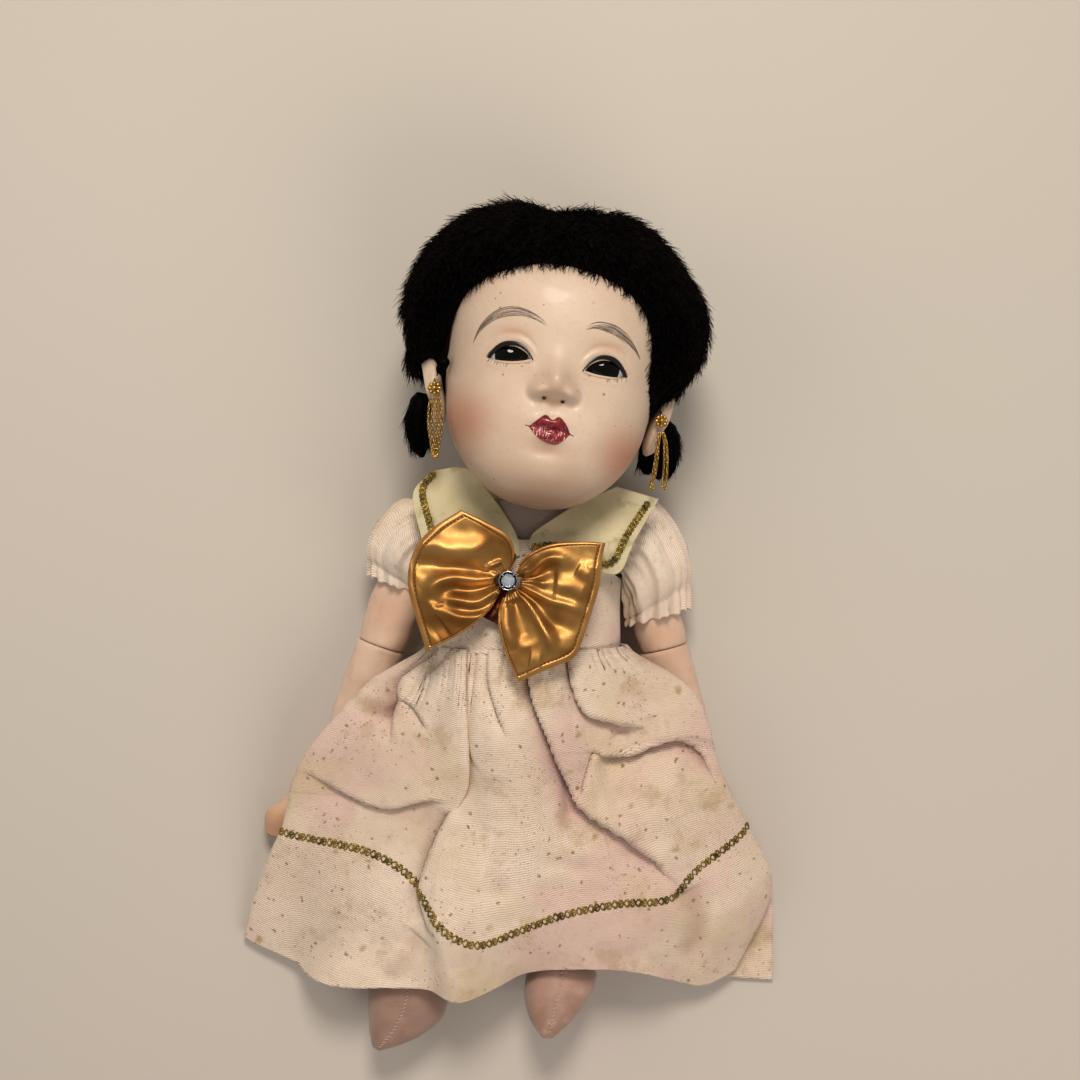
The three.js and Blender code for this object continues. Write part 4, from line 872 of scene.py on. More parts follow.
# Cloth
def dress_material(name="dress_cotton", seed=0.0, pink=1.0, light="e8d3bd", dark="dcc3ab", spots=1.0):
    """Fine ribbed cotton, aged: pink tints, brown age spots, a worn rib and a soft nap."""
    s = Shade(name)
    cloth = s.attribute("cloth")
    rest = s.vector("ADD", s.attribute("rest"), (seed, seed * 0.7, 0.0))
    across, along, _ = s.parts(cloth)
    warp = s.noise(rest, 0.25, 2.0)
    rib = s.math("SINE", s.math("ADD", s.math("MULTIPLY", along, 2 * math.pi / 0.62),
                                s.math("MULTIPLY", warp, 2.5)))
    thread = s.math("SINE", s.math("MULTIPLY", across, 2 * math.pi / 0.42))
    grain = s.noise(rest, 3.2, 3.0)
    base = s.mix(s.level(s.noise(rest, 0.02, 3.0), 0.35, 0.65), rgb(light), rgb(dark))
    tint = s.level(s.noise(rest, 0.026, 2.0, 0.5, 0.4), 0.5, 0.64, 0.0, 0.55 * pink)
    base = s.mix(tint, base, rgb("d8aea6"))
    yellow = s.level(s.noise(s.vector("ADD", rest, (31.0, 8.0, 5.0)), 0.032, 3.0), 0.5, 0.7, 0.0, 0.6)
    base = s.mix(yellow, base, rgb("cdb58b"))
    wash = s.level(s.noise(rest, 0.3, 4.0, 0.65), 0.5, 0.8, 0.0, 0.4)
    base = s.mix(wash, base, rgb("b79c80"))
    slub = s.noise(cloth, 0.8, 3.0, 0.6, 0.0, (0.35, 3.6, 1.0))
    ribs = s.level(s.math("ADD", rib, s.math("MULTIPLY", slub, 1.6)), -0.4, 2.0, 0.0, 0.44)
    base = s.mix(ribs, base, rgb("ae937b"))
    loose = s.vector("ADD", rest, s.vector("SCALE",
                                           s.put("ShaderNodeTexNoise", {"Vector": rest, "Scale": 0.5},
                                                 out=1), 2.2))
    area = s.level(s.noise(s.vector("ADD", rest, (7.0, 3.0, 0.0)), 0.045, 3.0), 0.47, 0.58)
    fine = s.math("MULTIPLY", s.level(s.cells(rest, 0.85), 0.15, 0.32, 1.0, 0.0),
                  s.level(s.noise(rest, 0.5, 1.0), 0.47, 0.56))
    color = s.mix(s.math("MULTIPLY", s.math("MULTIPLY", fine, area), 0.72 * spots), base, rgb("7d5f36"))
    small = s.math("MULTIPLY", s.level(s.cells(loose, 0.3), 0.08, 0.24, 1.0, 0.0),
                   s.level(s.noise(rest, 0.21, 1.0), 0.47, 0.55))
    color = s.mix(s.math("MULTIPLY", small, 0.8 * spots), color, rgb("76592b"))
    large = s.level(s.cells(s.vector("ADD", loose, (2.0, 9.0, 4.0)), 0.1), 0.04, 0.2, 1.0, 0.0)
    few = s.level(s.noise(rest, 0.06, 1.0), 0.46, 0.56)
    color = s.mix(s.math("MULTIPLY", s.math("MULTIPLY", large, few), 0.7 * spots), color, rgb("93742f"))
    patch = s.level(s.noise(s.vector("ADD", loose, (23.0, 71.0, 9.0)), 0.06, 4.0, 0.65), 0.54, 0.7, 0.0,
                    0.5 * spots)
    color = s.mix(patch, color, rgb("a88556"))
    # Painted shade: the cloth turns a darker maroon in the bottom of the fold hollows.
    deep = s.level(s.attribute("hollow", "Fac"), 0.1, 1.0, 0.0, 0.62)
    color = s.mix(deep, color, rgb("8f5f55"))
    height = s.math("ADD", s.math("MULTIPLY", rib, 0.5),
                    s.math("ADD", s.math("MULTIPLY", thread, 0.2), grain))
    bumps = s.bump(height, 0.8, 0.00018)
    return s.done(color, 0.88, bumps, Sheen_Weight=0.25, Sheen_Roughness=0.5, Specular_IOR_Level=0.2)


def collar_material():
    s = Shade("collar_cotton")
    cloth = s.attribute("cloth")
    rest = s.attribute("rest")
    across, along, _ = s.parts(cloth)
    weave = s.math("MULTIPLY", s.math("SINE", s.math("MULTIPLY", along, 12.0)),
                   s.math("SINE", s.math("MULTIPLY", across, 12.0)))
    base = s.mix(s.level(s.noise(rest, 0.05, 3.0), 0.35, 0.65), rgb("c8b993"), rgb("b3a57b"))
    base = s.mix(s.level(s.noise(rest, 0.16, 4.0, 0.65), 0.52, 0.78, 0.0, 0.7), base, rgb("84784f"))
    base = s.mix(s.level(s.noise(rest, 0.09, 2.0), 0.55, 0.8, 0.0, 0.6), base, rgb("c6ba93"))
    bumps = s.bump(s.math("ADD", weave, s.noise(rest, 2.5, 2.0)), 0.4, 0.00012)
    return s.done(base, 0.85, bumps, Sheen_Weight=0.2)


def braid_material():
    s = Shade("gold_braid_thread")
    rest = s.attribute("rest")
    twist = s.noise(rest, 3.0, 2.0)
    color = s.mix(s.level(twist, 0.35, 0.65), rgb("5e4a1c"), rgb("bd9f4c"))
    color = s.mix(s.level(s.noise(rest, 0.25, 3.0), 0.42, 0.66, 0.0, 0.75), color, rgb("2c2512"))
    bumps = s.bump(twist, 0.6, 0.0002)
    return s.done(color, 0.42, bumps, Metallic=0.75)


TRUNK = {"neck": 30.5, "crease": -30.0, "half": 26.5, "low": -0.5, "height": 43.6}
trunk_table = table([
    (0.0, 0.86, 0.84), (0.16, 0.96, 0.97), (0.42, 0.97, 1.0), (0.7, 1.0, 1.0), (0.85, 1.0, 0.95),
    (0.93, 0.82, 0.84), (0.975, 0.58, 0.74), (1.0, 0.34, 0.66),
])


def trunk_point(turn, y, lift, back):
    share = np.clip((y - TRUNK["crease"]) / (TRUNK["neck"] - TRUNK["crease"]), 0, 1)
    wide, high = trunk_table(share)
    x, z = rounded(turn, wide * TRUNK["half"] + lift, high * TRUNK["height"] / 2 + lift, 2.4)
    z = np.maximum(TRUNK["low"] + TRUNK["height"] / 2 + z, back)
    return np.stack(np.broadcast_arrays(x, y, z), -1)


# Skirt: rows from waist to hem, [across, down, up] as shares, with the turned-back walls at the ends
SKIRT = {"half": 84.0, "length": 108.0, "height": 46.0, "top": -18.6, "foot": 1.7}
SKIRT_ROWS = [
    [(-0.36, 0, 0.59), (-0.33, 0, 0.72), (-0.3, 0, 0.8), (-0.27, 0, 0.87), (-0.24, 0, 0.92), (-0.2, 0, 0.96),
     (-0.12, 0, 0.99), (-0.03, 0, 1), (0.07, 0, 1), (0.16, 0, 0.97), (0.24, 0, 0.91), (0.31, 0, 0.8), (0.36,
             0, 0.63)],
    [(-0.52, 0.15, 0.61), (-0.44, 0.16, 0.67), (-0.37, 0.17, 0.74), (-0.31, 0.19, 0.8), (-0.26, 0.2, 0.87),
     (-0.22, 0.21, 0.89), (-0.15, 0.21, 0.93), (-0.04, 0.21, 0.96), (0.08, 0.2, 0.95), (0.19, 0.18, 0.89),
     (0.32, 0.15, 0.83), (0.46, 0.13, 0.72), (0.61, 0.13, 0.63)],
    [(-0.77, 0.35, 0.46), (-0.65, 0.35, 0.54), (-0.52, 0.36, 0.63), (-0.41, 0.39, 0.7), (-0.31, 0.41, 0.72),
     (-0.23, 0.43, 0.72), (-0.12, 0.42, 0.8), (-0.01, 0.41, 0.83), (0.12, 0.39, 0.78), (0.23, 0.37, 0.76),
     (0.39, 0.33, 0.72), (0.56, 0.3, 0.67), (0.7, 0.34, 0.59)],
    [(-0.91, 0.53, 0.4), (-0.77, 0.55, 0.48), (-0.61, 0.57, 0.57), (-0.48, 0.61, 0.62), (-0.39, 0.68, 0.62),
     (-0.3, 0.79, 0.7), (-0.19, 0.83, 0.7), (-0.04, 0.8, 0.63), (0.14, 0.75, 0.63), (0.34, 0.72, 0.63),
     (0.53, 0.71, 0.54), (0.61, 0.64, 0.54), (0.81, 0.51, 0.41)],
    [(-1.01, 0.7, 0.2), (-0.82, 0.74, 0.3), (-0.65, 0.77, 0.46), (-0.49, 0.79, 0.57), (-0.37, 0.83, 0.59),
     (-0.27, 0.89, 0.71), (-0.16, 0.9, 0.65), (-0.03, 0.87, 0.57), (0.16, 0.83, 0.61), (0.38, 0.83, 0.57),
     (0.57, 0.84, 0.43), (0.69, 0.81, 0.41), (0.92, 0.71, 0.17)],
    [(-1.08, 0.87, 0.06), (-0.87, 0.94, 0.13), (-0.66, 0.97, 0.35), (-0.49, 0.97, 0.5), (-0.36, 0.97, 0.57),
     (-0.25, 0.99, 0.72), (-0.14, 0.97, 0.61), (-0.01, 0.93, 0.5), (0.19, 0.91, 0.58), (0.42, 0.93, 0.46),
     (0.57, 0.98, 0.28), (0.67, 1.0, 0.17), (0.79, 0.96, 0.09)],
]
RIGHT_WALL = [(-0.345, 0.35, -0.33), (-0.49, 0.4, -0.48), (-0.645, 0.385, -0.63), (-0.8, 0.33, -0.79),
              (-1.0, 0.12, -0.98), (-1.07, 0.045, -1.05)]
LEFT_WALL = [(0.345, 0.35, 0.33), (0.42, 0.52, 0.415), (0.49, 0.42, 0.48), (0.535, 0.33, 0.525),
             (0.66, 0.3, 0.64), (0.76, 0.07, 0.74)]
# Folds of the skirt: path as seen from above, side that stands over the other (1 left of the path, -1 right,
# 0 a plain crease), lip height, lip reach, depth of the hollow, its reach, and overlap
FOLDS = [
    ([(-18.9, -14.5), (-19.4, -24.8), (-19.3, -34.7), (-18.8, -44.9), (-18.7, -58.0), (-19.5, -62.2),
      (-21.6, -66.4), (-23.2, -69.0)], -1, 2.2, 6.0, 3.2, 3.6, 1.2),
    ([(-22.5, -67.5), (-26.7, -75.2), (-30.9, -86.2), (-32.6, -92.0), (-31.6, -98.0), (-27.8, -108.3)],
     1, 1.3, 9.0, 2.4, 6.5, 0.3),
    ([(-30.0, -100.0), (-27.0, -108.0), (-24.0, -116.0), (-21.4, -124.3)], 0, 0.0, 1.0, -1.6, 4.5, 0.0),
    ([(-68.1, -51.7), (-60.6, -58.7), (-55.3, -62.5), (-47.3, -65.6), (-41.0, -66.3), (-34.3, -64.3),
      (-28.2, -63.4), (-21.4, -65.9)], 1, 1.8, 6.0, 1.8, 6.5, 0.8),
    ([(-20.5, -14.5), (-31.8, -25.1), (-34.9, -30.2), (-36.1, -34.3), (-37.9, -37.8), (-39.7, -42.0),
      (-41.4, -49.0)], 1, 1.4, 3.0, 3.4, 3.2, 0.9),
    ([(-35.1, -33.2), (-32.1, -38.1), (-29.6, -42.5)], 1, 0.9, 3.5, 1.7, 3.0, 0.4),
    ([(-17.6, -14.5), (-26.4, -24.2), (-29.6, -27.4), (-31.0, -32.0)], 1, 0.7, 2.2, 2.2, 1.9, 0.4),
    ([(-46.5, -24.5), (-43.3, -33.1), (-39.4, -41.5)], 0, 0.0, 1.0, 1.7, 3.6, 0.0),
    ([(-16.9, -14.5), (-17.4, -29.7), (-17.0, -44.8), (-15.8, -51.0), (-11.8, -57.0)], 1, 1.3, 5.0, 1.4,
     2.2, 0.3),
    ([(-10.7, -14.5), (-10.8, -27.0), (-8.5, -35.5), (-5.0, -45.0)], 1, 0.9, 4.0, 2.0, 2.2, 0.4),
    ([(-14.2, -14.5), (-15.6, -24.1), (-15.9, -28.6)], 0, 0.0, 1.0, 1.2, 1.3, 0.0),
    ([(-5.6, -14.5), (-4.6, -25.0), (-5.2, -30.5)], 0, 0.0, 1.0, 1.2, 1.7, 0.0),
    ([(0.0, -14.5), (3.0, -30.0), (3.7, -33.9), (6.9, -41.0), (9.9, -49.9), (13.5, -57.3), (16.5, -64.7),
      (22.1, -69.4), (28.2, -73.2), (36.5, -79.2), (42.8, -87.3), (49.3,
              -93.0)], 1, 2.4, 5.5, 4.2, 5.0, 1.9),
    ([(9.7, -49.9), (11.1, -55.7), (11.3, -68.7), (13.0, -79.6)], 0, 0.0, 1.0, 1.1, 1.5, 0.0),
    ([(13.3, -14.5), (15.1, -28.7), (17.9, -35.3), (20.4, -36.9), (25.9, -38.4), (33.1, -40.7),
      (37.5, -42.0)],
     1, 2.2, 4.5, 4.0, 4.2, 1.7),
    ([(37.0, -37.6), (37.8, -43.0), (33.1, -44.6), (28.0, -43.4), (25.0, -45.8), (21.0, -49.4)],
     0, 0.0, 1.0, 1.5, 1.9, 0.0),
    ([(21.0, -48.6), (30.1, -48.7), (35.2, -47.1), (40.9, -45.0), (46.0, -44.2), (51.1, -47.0),
      (54.8, -51.2),
      (58.5, -61.5)], 1, 2.5, 4.5, 4.2, 5.0, 1.9),
    ([(21.5, -48.8), (20.0, -50.8), (19.0, -54.4), (17.4, -63.0)], 1, 1.1, 4.0, 1.7, 2.2, 0.5),
    ([(5.5, -82.4), (13.1, -83.9), (20.5, -85.0)], 0, 0.0, 1.0, 1.2, 3.0, 0.0),
    ([(-32.0, -106.5), (-37.7, -113.6), (-44.5, -122.0)], 0, 0.0, 1.0, 2.0, 5.0, 0.0),
    ([(49.5, -92.0), (53.0, -101.7), (52.2, -109.9), (46.0, -118.8)], 0, 0.0, 1.0, 2.0, 5.0, 0.0),
    ([(-9.0, -72.0), (-9.5, -86.0), (-7.5, -97.0)], 0, 0.0, 1.0, 1.3, 5.5, 0.0),
]
# Rounded swells of the skirt: middle, half width, half length, height
SWELLS = [(-49.0, -48.0, 12.0, 12.0, 2.4), (40.0, -62.0, 13.0, 12.0, 2.2), (46.0, -38.5, 13.0, 5.0, 2.0),
          (-6.0, -52.0, 8.0, 22.0, 1.4), (-28.0, -31.0, 4.0, 5.0, 1.0), (-50.0, -95.0, 22.0, 16.0, 1.5),
          (30.5, -27.2, 11.0, 8.0, 1.4), (68.0, -88.0, 9.0, 14.0, 1.6)]


# How far the cloth lies out over the right arm, by how far down it is
SPREAD = [(18.6, 23.0, 27.6, 35.0, 44.0, 51.0, 56.0, 61.0, 68.0, 75.0),
          (0.0, 4.5, 9.0, 10.4, 9.4, 8.0, 6.4, 5.0, 2.0, 0.0)]


# Hip seam, and how far each leg is turned out at rest and at the end of its spread, in degrees
HIP = (13.5, -62.9)
LEG_TURN = {"right": (23, 35), "left": (-3, 17)}


def body_top(x, y):
    """Height of the stuffed body and legs under the skirt."""
    share = np.clip((-30.6 - y) / 21.0, 0, 1)
    wide = np.interp(share, [0, 0.65, 0.88, 1], [25.0, 24.5, 21.5, 15.5])
    round_ = np.clip(1 - np.abs(x / wide) ** 2.4, 0, 1) ** (1 / 2.4)
    top = np.where((y < -28) & (y > -51.6), 17.0 + 15.5 * wide / 25.0 * round_, 0)
    for way, side in ((-1, "right"), (1, "left")):
        turn = math.radians(way * LEG_TURN[side][0])
        dx, dy = x - way * HIP[0], y - HIP[1]
        down = np.clip(dx * math.sin(turn) - dy * math.cos(turn), 0, 55)
        far = np.hypot(dx - down * math.sin(turn), dy + down * math.cos(turn))
        radius = lerp(11.0, 8.6, down / 55)
        top = np.maximum(top, np.where(far < radius, 13.0 + np.sqrt(np.maximum(radius**2 - far**2, 0)), 0))
    return top


def leg_sweep(x, y):
    """Height of the bootees over every place that the spreading legs carry them to."""
    top = np.zeros_like(x)
    for way, side in ((-1, "right"), (1, "left")):
        rest, most = LEG_TURN[side]
        dx, dy = way * x - HIP[0], HIP[1] - y
        far = np.hypot(dx, dy)
        turn = np.degrees(np.arctan2(dx, dy))
        beside = far * np.sin(np.radians(turn - np.clip(turn, rest, most)))
        height = np.maximum(22.4 - 0.0045 * np.abs(beside) ** 3, 0)
        top = np.maximum(top, height * smooth(far, 46, 54) * (far < 90))
    return top


def path_places(x, y, path, count=14):
    """Distance of points from a path, share of it passed, side (1 left, -1 right) and the way there."""
    path = spline(np.array(path, float), np.linspace(0, 1, count))
    step = np.linalg.norm(np.diff(path, axis=0), axis=1)
    start = np.concatenate([[0], np.cumsum(step)])
    least = np.full(x.shape, 1e9)
    share, side, way_x, way_y = (np.zeros(x.shape) for _ in range(4))
    for k, (a, b) in enumerate(zip(path, path[1:])):
        way = (b - a) / step[k]
        reach = np.clip((x - a[0]) * way[0] + (y - a[1]) * way[1], 0, step[k])
        dx, dy = x - a[0] - reach * way[0], y - a[1] - reach * way[1]
        far = np.hypot(dx, dy)
        closer = far < least
        least = np.where(closer, far, least)
        side = np.where(closer, np.sign(way[0] * dy - way[1] * dx), side)
        share = np.where(closer, (start[k] + reach) / start[-1], share)
        way_x, way_y = np.where(closer, way[0], way_x), np.where(closer, way[1], way_y)
    return least, share, side, way_x, way_y


def fold_shift(x, y, path, raised, lip, lip_reach, hollow, hollow_reach, over):
    """Rise and sideways shift of the cloth near a fold."""
    far, share, side, way_x, way_y = path_places(x, y, path)
    ends = smooth(share, -0.02, 0.06) * smooth(1 - share, 0.0, 0.25)
    if not raised:
        rise = -hollow * bell(far, hollow_reach) * ends
        return rise, np.zeros_like(x), np.zeros_like(x)
    up = far * side * raised
    top = smooth(up, -0.4, 0.4)
    high = lip * np.exp(-np.maximum(up, 0) / lip_reach) * (1 - 0.35 * np.exp(-np.maximum(up, 0) / 0.9)) * top
    low = -hollow * np.exp(-((np.maximum(-up, 0) / hollow_reach) ** 1.3)) * (1 - top)
    pull = over * np.exp(-np.maximum(up, 0) / (lip_reach * 0.5)) * top
    fade = ends * np.exp(-np.maximum(far - 16, 0))
    return (high + low) * fade, pull * fade * way_y * raised, -pull * fade * way_x * raised


def skirt_surface(u, v, detail=True):
    """Grid of points of the skirt front: u from the right foot of the cloth to the left, v down."""
    scale = np.array([SKIRT["half"], -SKIRT["length"], SKIRT["height"]])
    foot = SKIRT["foot"] / SKIRT["height"]
    rows = []
    for row, right, left in zip(SKIRT_ROWS, RIGHT_WALL, LEFT_WALL):
        whole = [(right[2], row[0][1], foot), (right[0], row[0][1], right[1]), *row,
                 (left[0], row[-1][1], left[1]), (left[2], row[-1][1], foot)]
        rows.append(spline(np.array(whole) * scale + np.array([0, SKIRT["top"], 0]), u))
    P = spline(np.array(rows), v)
    U, V = np.meshgrid(u, v)
    front = smooth(U, 0.12, 0.2) * smooth(1 - U, 0.12, 0.2)
    x, y = P[..., 0].copy(), P[..., 1].copy()
    rise, shift_x, shift_y = np.zeros_like(x), np.zeros_like(x), np.zeros_like(x)
    for fold in FOLDS:
        dz, dx, dy = fold_shift(x, y, *fold)
        rise, shift_x, shift_y = rise + dz, shift_x + dx, shift_y + dy
    for middle_x, middle_y, wide, long, high in SWELLS:
        rise += high * np.exp(-((np.abs(x - middle_x) / wide) ** 2.4) - (np.abs(y - middle_y) / long) ** 2.4)
    # Depth of the fold hollows, kept for the painted shade in them.
    SKIRT["hollow"] = np.clip(-rise / 3.4, 0, 1)
    spread = np.interp(-y, SPREAD[0], SPREAD[1]) * np.exp(-(((U - 0.125) / 0.05) ** 2))
    P[..., 0] -= spread
    P[..., 2] = np.maximum(P[..., 2] + front * rise, np.where(front > 0, body_top(x, y) + 1.3, 0))
    P[..., 0] += front * shift_x
    P[..., 1] += front * shift_y
    tuck = np.exp(-((V * SKIRT["length"] / 1.3) ** 2))
    P[..., 2] -= front * 0.9 * tuck
    P[..., 1] += 0.9 * tuck
    P[..., 2] = np.maximum(P[..., 2], SKIRT["foot"])
    short = leg_sweep(P[..., 0], P[..., 1]) + 2.0 - P[..., 2]
    P[..., 2] += front * smooth(V, 0.68, 0.84) * (short + np.sqrt(short**2 + 2)) / 2
    if detail:
        soft = front * smooth(V, 0.0, 0.12)
        P[..., 2] += soft * (0.5 * ripple(x, y, 5, 30) + 0.2 * ripple(x, y, 8, 10))
        phase = 2 * np.pi * (36 * U + 0.7 * np.sin(2 * np.pi * 5 * U) + 0.4 * np.sin(2 * np.pi * 13 * U + 1))
        reach = 0.07 + 0.09 * (0.5 + 0.5 * np.sin(2 * np.pi * 4.3 * U + 2)) ** 2
        fine = np.exp(-((V / reach) ** 1.3)) * front
        P[..., 2] += fine * (0.7 * np.cos(phase) - 0.35) * (1 - 0.5 * tuck)
    return P


# Free corner of the skirt's back panel
FLAP_CORNER = (79.0, -127.0)


def add_skirt():
    cotton = dress_material()
    u = np.linspace(0, 1, 270)
    v = np.linspace(0, 1, 176)
    P = skirt_surface(u, v)
    # The fold depth goes along as an attribute for the painted fold shade.
    obj = sheet_object("skirt_front_cloth", P, 0.7, extra={"hollow": SKIRT["hollow"]})
    obj.data.materials.append(cotton)
    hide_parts("skirt_front")
    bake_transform(obj)
    left = P[:, -1].copy()
    along = np.maximum(v - 0.8, 0) / 0.2
    edge_x, edge_y = np.full_like(v, FLAP_CORNER[0]), lerp(-101.0, FLAP_CORNER[1], along)
    corner = np.stack([edge_x, edge_y, np.zeros_like(v)], -1)
    left = lerp(left, corner, smooth(v, 0.7, 0.82)[:, None])
    s = np.linspace(0, 1, 200)[None, :, None]
    B = P[:, 0][:, None] * (1 - s) + left[:, None] * s
    x, y = B[..., 0].copy(), B[..., 1].copy()
    B[..., 2] = 1.1 + 0.35 * ripple(x, y, 21, 18)
    obj = sheet_object("skirt_back_cloth", B, 0.7)
    obj.data.materials.append(cotton)
    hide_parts("skirt_back")
    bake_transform(obj)
    return cotton


def plait(pile, path, normals, width, thick, pitch, strand):
    """Two wavy cords that cross into small loops along a path, and a finer one through them."""
    length = np.concatenate([[0], np.cumsum(np.linalg.norm(np.diff(path, axis=0), axis=1))])
    count = int(length[-1] / pitch * 12)
    at = np.linspace(0, length[-1], count)
    middle = np.stack([np.interp(at, length, path[:, k]) for k in range(3)], -1)
    up = np.stack([np.interp(at, length, normals[:, k]) for k in range(3)], -1)
    way = np.gradient(middle, axis=0)
    way /= np.linalg.norm(way, axis=1, keepdims=True)
    side = np.cross(way, up)
    side /= np.linalg.norm(side, axis=1, keepdims=True)
    for k, wide, radius in ((0, 1.0, strand), (1, 1.0, strand), (2, 0.35, strand * 0.7)):
        phase = 2 * np.pi * (at / pitch + k / 2)
        if k == 2:
            phase = 2 * np.pi * at / pitch + np.pi / 2
        line = middle + side * (wide * (width / 2 - strand) * np.sin(phase))[:, None]
        line = line + up * (thick / 2 - strand) * (np.cos(phase) * (1 if k == 0 else -1))[:, None]
        pile.add(tube_points(line, radius, 6))


def add_skirt_braid(paint):
    u = np.linspace(0.125, 0.875, 500)
    rows = skirt_surface(u, np.array([0.593, 0.6, 0.607]))
    middle = rows[1]
    normals = grid_normals(rows)[1]
    normals *= np.sign(normals[:, 2:3])
    pile = Pile()
    plait(pile, middle + normals * 0.6, normals, 2.9, 1.2, 3.7, 0.4)
    obj = pile.done("skirt_braid_plait")
    obj.data.materials.append(paint)
    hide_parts("skirt_braid")
    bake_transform(obj)


def add_bodice(cotton):
    y_low, y_high = -18.9, 28.0
    v = np.linspace(0, 1, 80)[:, None]
    u = np.linspace(0, 1, 170)[None, :]
    level = lerp(y_low, y_high, v)
    side = np.radians(lerp(-10.0, 27.0, smooth(level, 1, 5)))
    turn = (np.pi - side) + (2 * side - np.pi) * u
    dip = 13.0 * bell(np.cos(turn), 0.42)
    y = lerp(y_low, y_high - dip, v)
    P = trunk_point(turn, y, 2.4, 0)
    ease = np.sin(np.pi * np.clip(v, 0.02, 1))
    P[..., 2] += 0.25 * ease * ripple(P[..., 0], P[..., 1], 31, 14)
    P[..., 2] += (0.8 + 0.15 * np.sin(2 * np.pi * 34 * u)) * np.exp(-v / 0.06) * np.sin(turn) ** 4
    P[..., 2] -= 0.5 * bell(v - 0.035, 0.012) * np.sin(turn) ** 4
    obj = sheet_object("bodice_front_cloth", P[::-1], 0.7)
    put_on(obj, cotton, "torso", "bodice_front", slot="dress_cloth")
    for name, way in (("left", 1), ("right", -1)):
        u = np.linspace(0, 1, 80)[None, :]
        level = lerp(y_low, y_high, v)
        seam = np.radians(lerp(10.0, 27.0, smooth(level, 1, 5)))
        side = -seam - 0.6 / TRUNK["half"]
        turn = -np.pi / 2 + (side + np.pi / 2) * u
        P = trunk_point(turn, level + 0 * u, 2.4, 0)
        P[..., 0] = np.maximum(P[..., 0], 0.15) * way
        if way < 0:
            P = P[:, ::-1]
        obj = sheet_object(f"bodice_back_{name}_cloth", P[::-1], 0.7, under=-1)
        put_on(obj, cotton, "torso", f"bodice_back_{name}", slot="dress_cloth")
    spread = math.asin(11.5 / TRUNK["half"])
    u = np.linspace(0, 1, 60)[None, :]
    turn = np.pi / 2 + spread - 2 * spread * u
    P = trunk_point(turn, lerp(8.0, 27.0, np.linspace(0, 1, 40))[:, None] + 0 * u, 1.0, 0)
    obj = sheet_object("undershirt_cloth", P[::-1], 0.5)
    s = Shade("mauve_check")
    cloth = s.attribute("cloth")
    across, along, _ = s.parts(cloth)
    check = s.math("MULTIPLY", s.math("SINE", s.math("MULTIPLY", across, 8.0)),
                   s.math("SINE", s.math("MULTIPLY", along, 8.0)))
    color = s.mix(s.level(check, -0.4, 0.5), rgb("6b5a4f"), rgb("a69388"))
    put_on(obj, s.done(color, 0.9, s.bump(check, 0.4, 0.0002)), "torso", "undershirt",
           slot="mauve_check_cloth")


COLLAR = {"chest": 46.2, "neck": 37.6, "shoulder": 36.8, "width": 40.0, "rise": 37.0, "body": 32.5}
COLLAR_WINGS = {
    "right": (
        [(-0.54, 1.0), (-0.41, 0.97), (-0.3, 0.82), (-0.19, 0.66), (-0.08, 0.46), (-0.05, 0.36)],
        [(-0.7, 0.97), (-0.85, 0.8), (-0.78, 0.43), (-0.72, 0.1), (-0.4, 0.16), (-0.05, 0.28)],
    ),
    "left": (
        [(0.68, 0.84), (0.46, 0.74), (0.33, 0.67), (0.19, 0.57), (0.05, 0.46), (0.02, 0.4)],
        [(0.99, 0.74), (0.8, 0.4), (0.68, 0.14), (0.52, 0.16), (0.26, 0.34), (0.02, 0.34)],
    ),
}


def collar_surface(side, u, v, lift):
    """Grid over a collar wing: u from the neckline to the rim, v from the nape to the breast."""
    scale = np.array([COLLAR["width"], COLLAR["rise"]])
    neckline, rim = (spline(np.array(curve) * scale, v) for curve in COLLAR_WINGS[side])
    flat = neckline[:, None] * (1 - u)[None, :, None] + rim[:, None] * u[None, :, None]
    x, y = flat[..., 0], flat[..., 1]
    back = smooth(y / COLLAR["rise"], 0.4, 1)
    out = smooth(np.abs(x) / COLLAR["width"], 0.3, 1)
    turn = np.arccos(np.clip(x / COLLAR["body"], -1, 1))
    body = trunk_point(turn, y, 0, 0)[..., 2]
    z = lerp(lerp(COLLAR["chest"], COLLAR["neck"], back), COLLAR["shoulder"], back * out)
    return np.stack([x, y, np.maximum(z, body) + lift], -1)


def add_collar(braid):
    olive = collar_material()
    for side in COLLAR_WINGS:
        u, v = np.linspace(0, 1, 60), np.linspace(0, 1, 90)
        P = collar_surface(side, u, v, 0.9)
        wave = ripple(P[..., 0], P[..., 1], 41 if side == "left" else 42, 11)
        P[..., 2] += 0.35 * smooth(u, 0.1, 0.9)[None] * (wave + 0.6)
        obj = sheet_object(f"collar_{side}_cloth", P, 0.6, under=1 if grid_normals(P)[45, 30, 2] > 0 else -1)
        put_on(obj, olive, "torso", f"collar_{side}", slot="olive_cloth")
        v = np.linspace(0.03, 0.98, 200)
        rows = collar_surface(side, np.array([0.83, 0.84, 0.85]), v, 1.0 + 0.9)
        pile = Pile()
        up = np.tile([0.0, 0.0, 1.0], (len(v), 1))
        plait(pile, rows[:, 1], up, 2.3, 1.0, 3.0, 0.32)
        put_on(pile.done(f"collar_{side}_plait"), braid, "torso", f"collar_trim_{side}", slot="gold_braid")


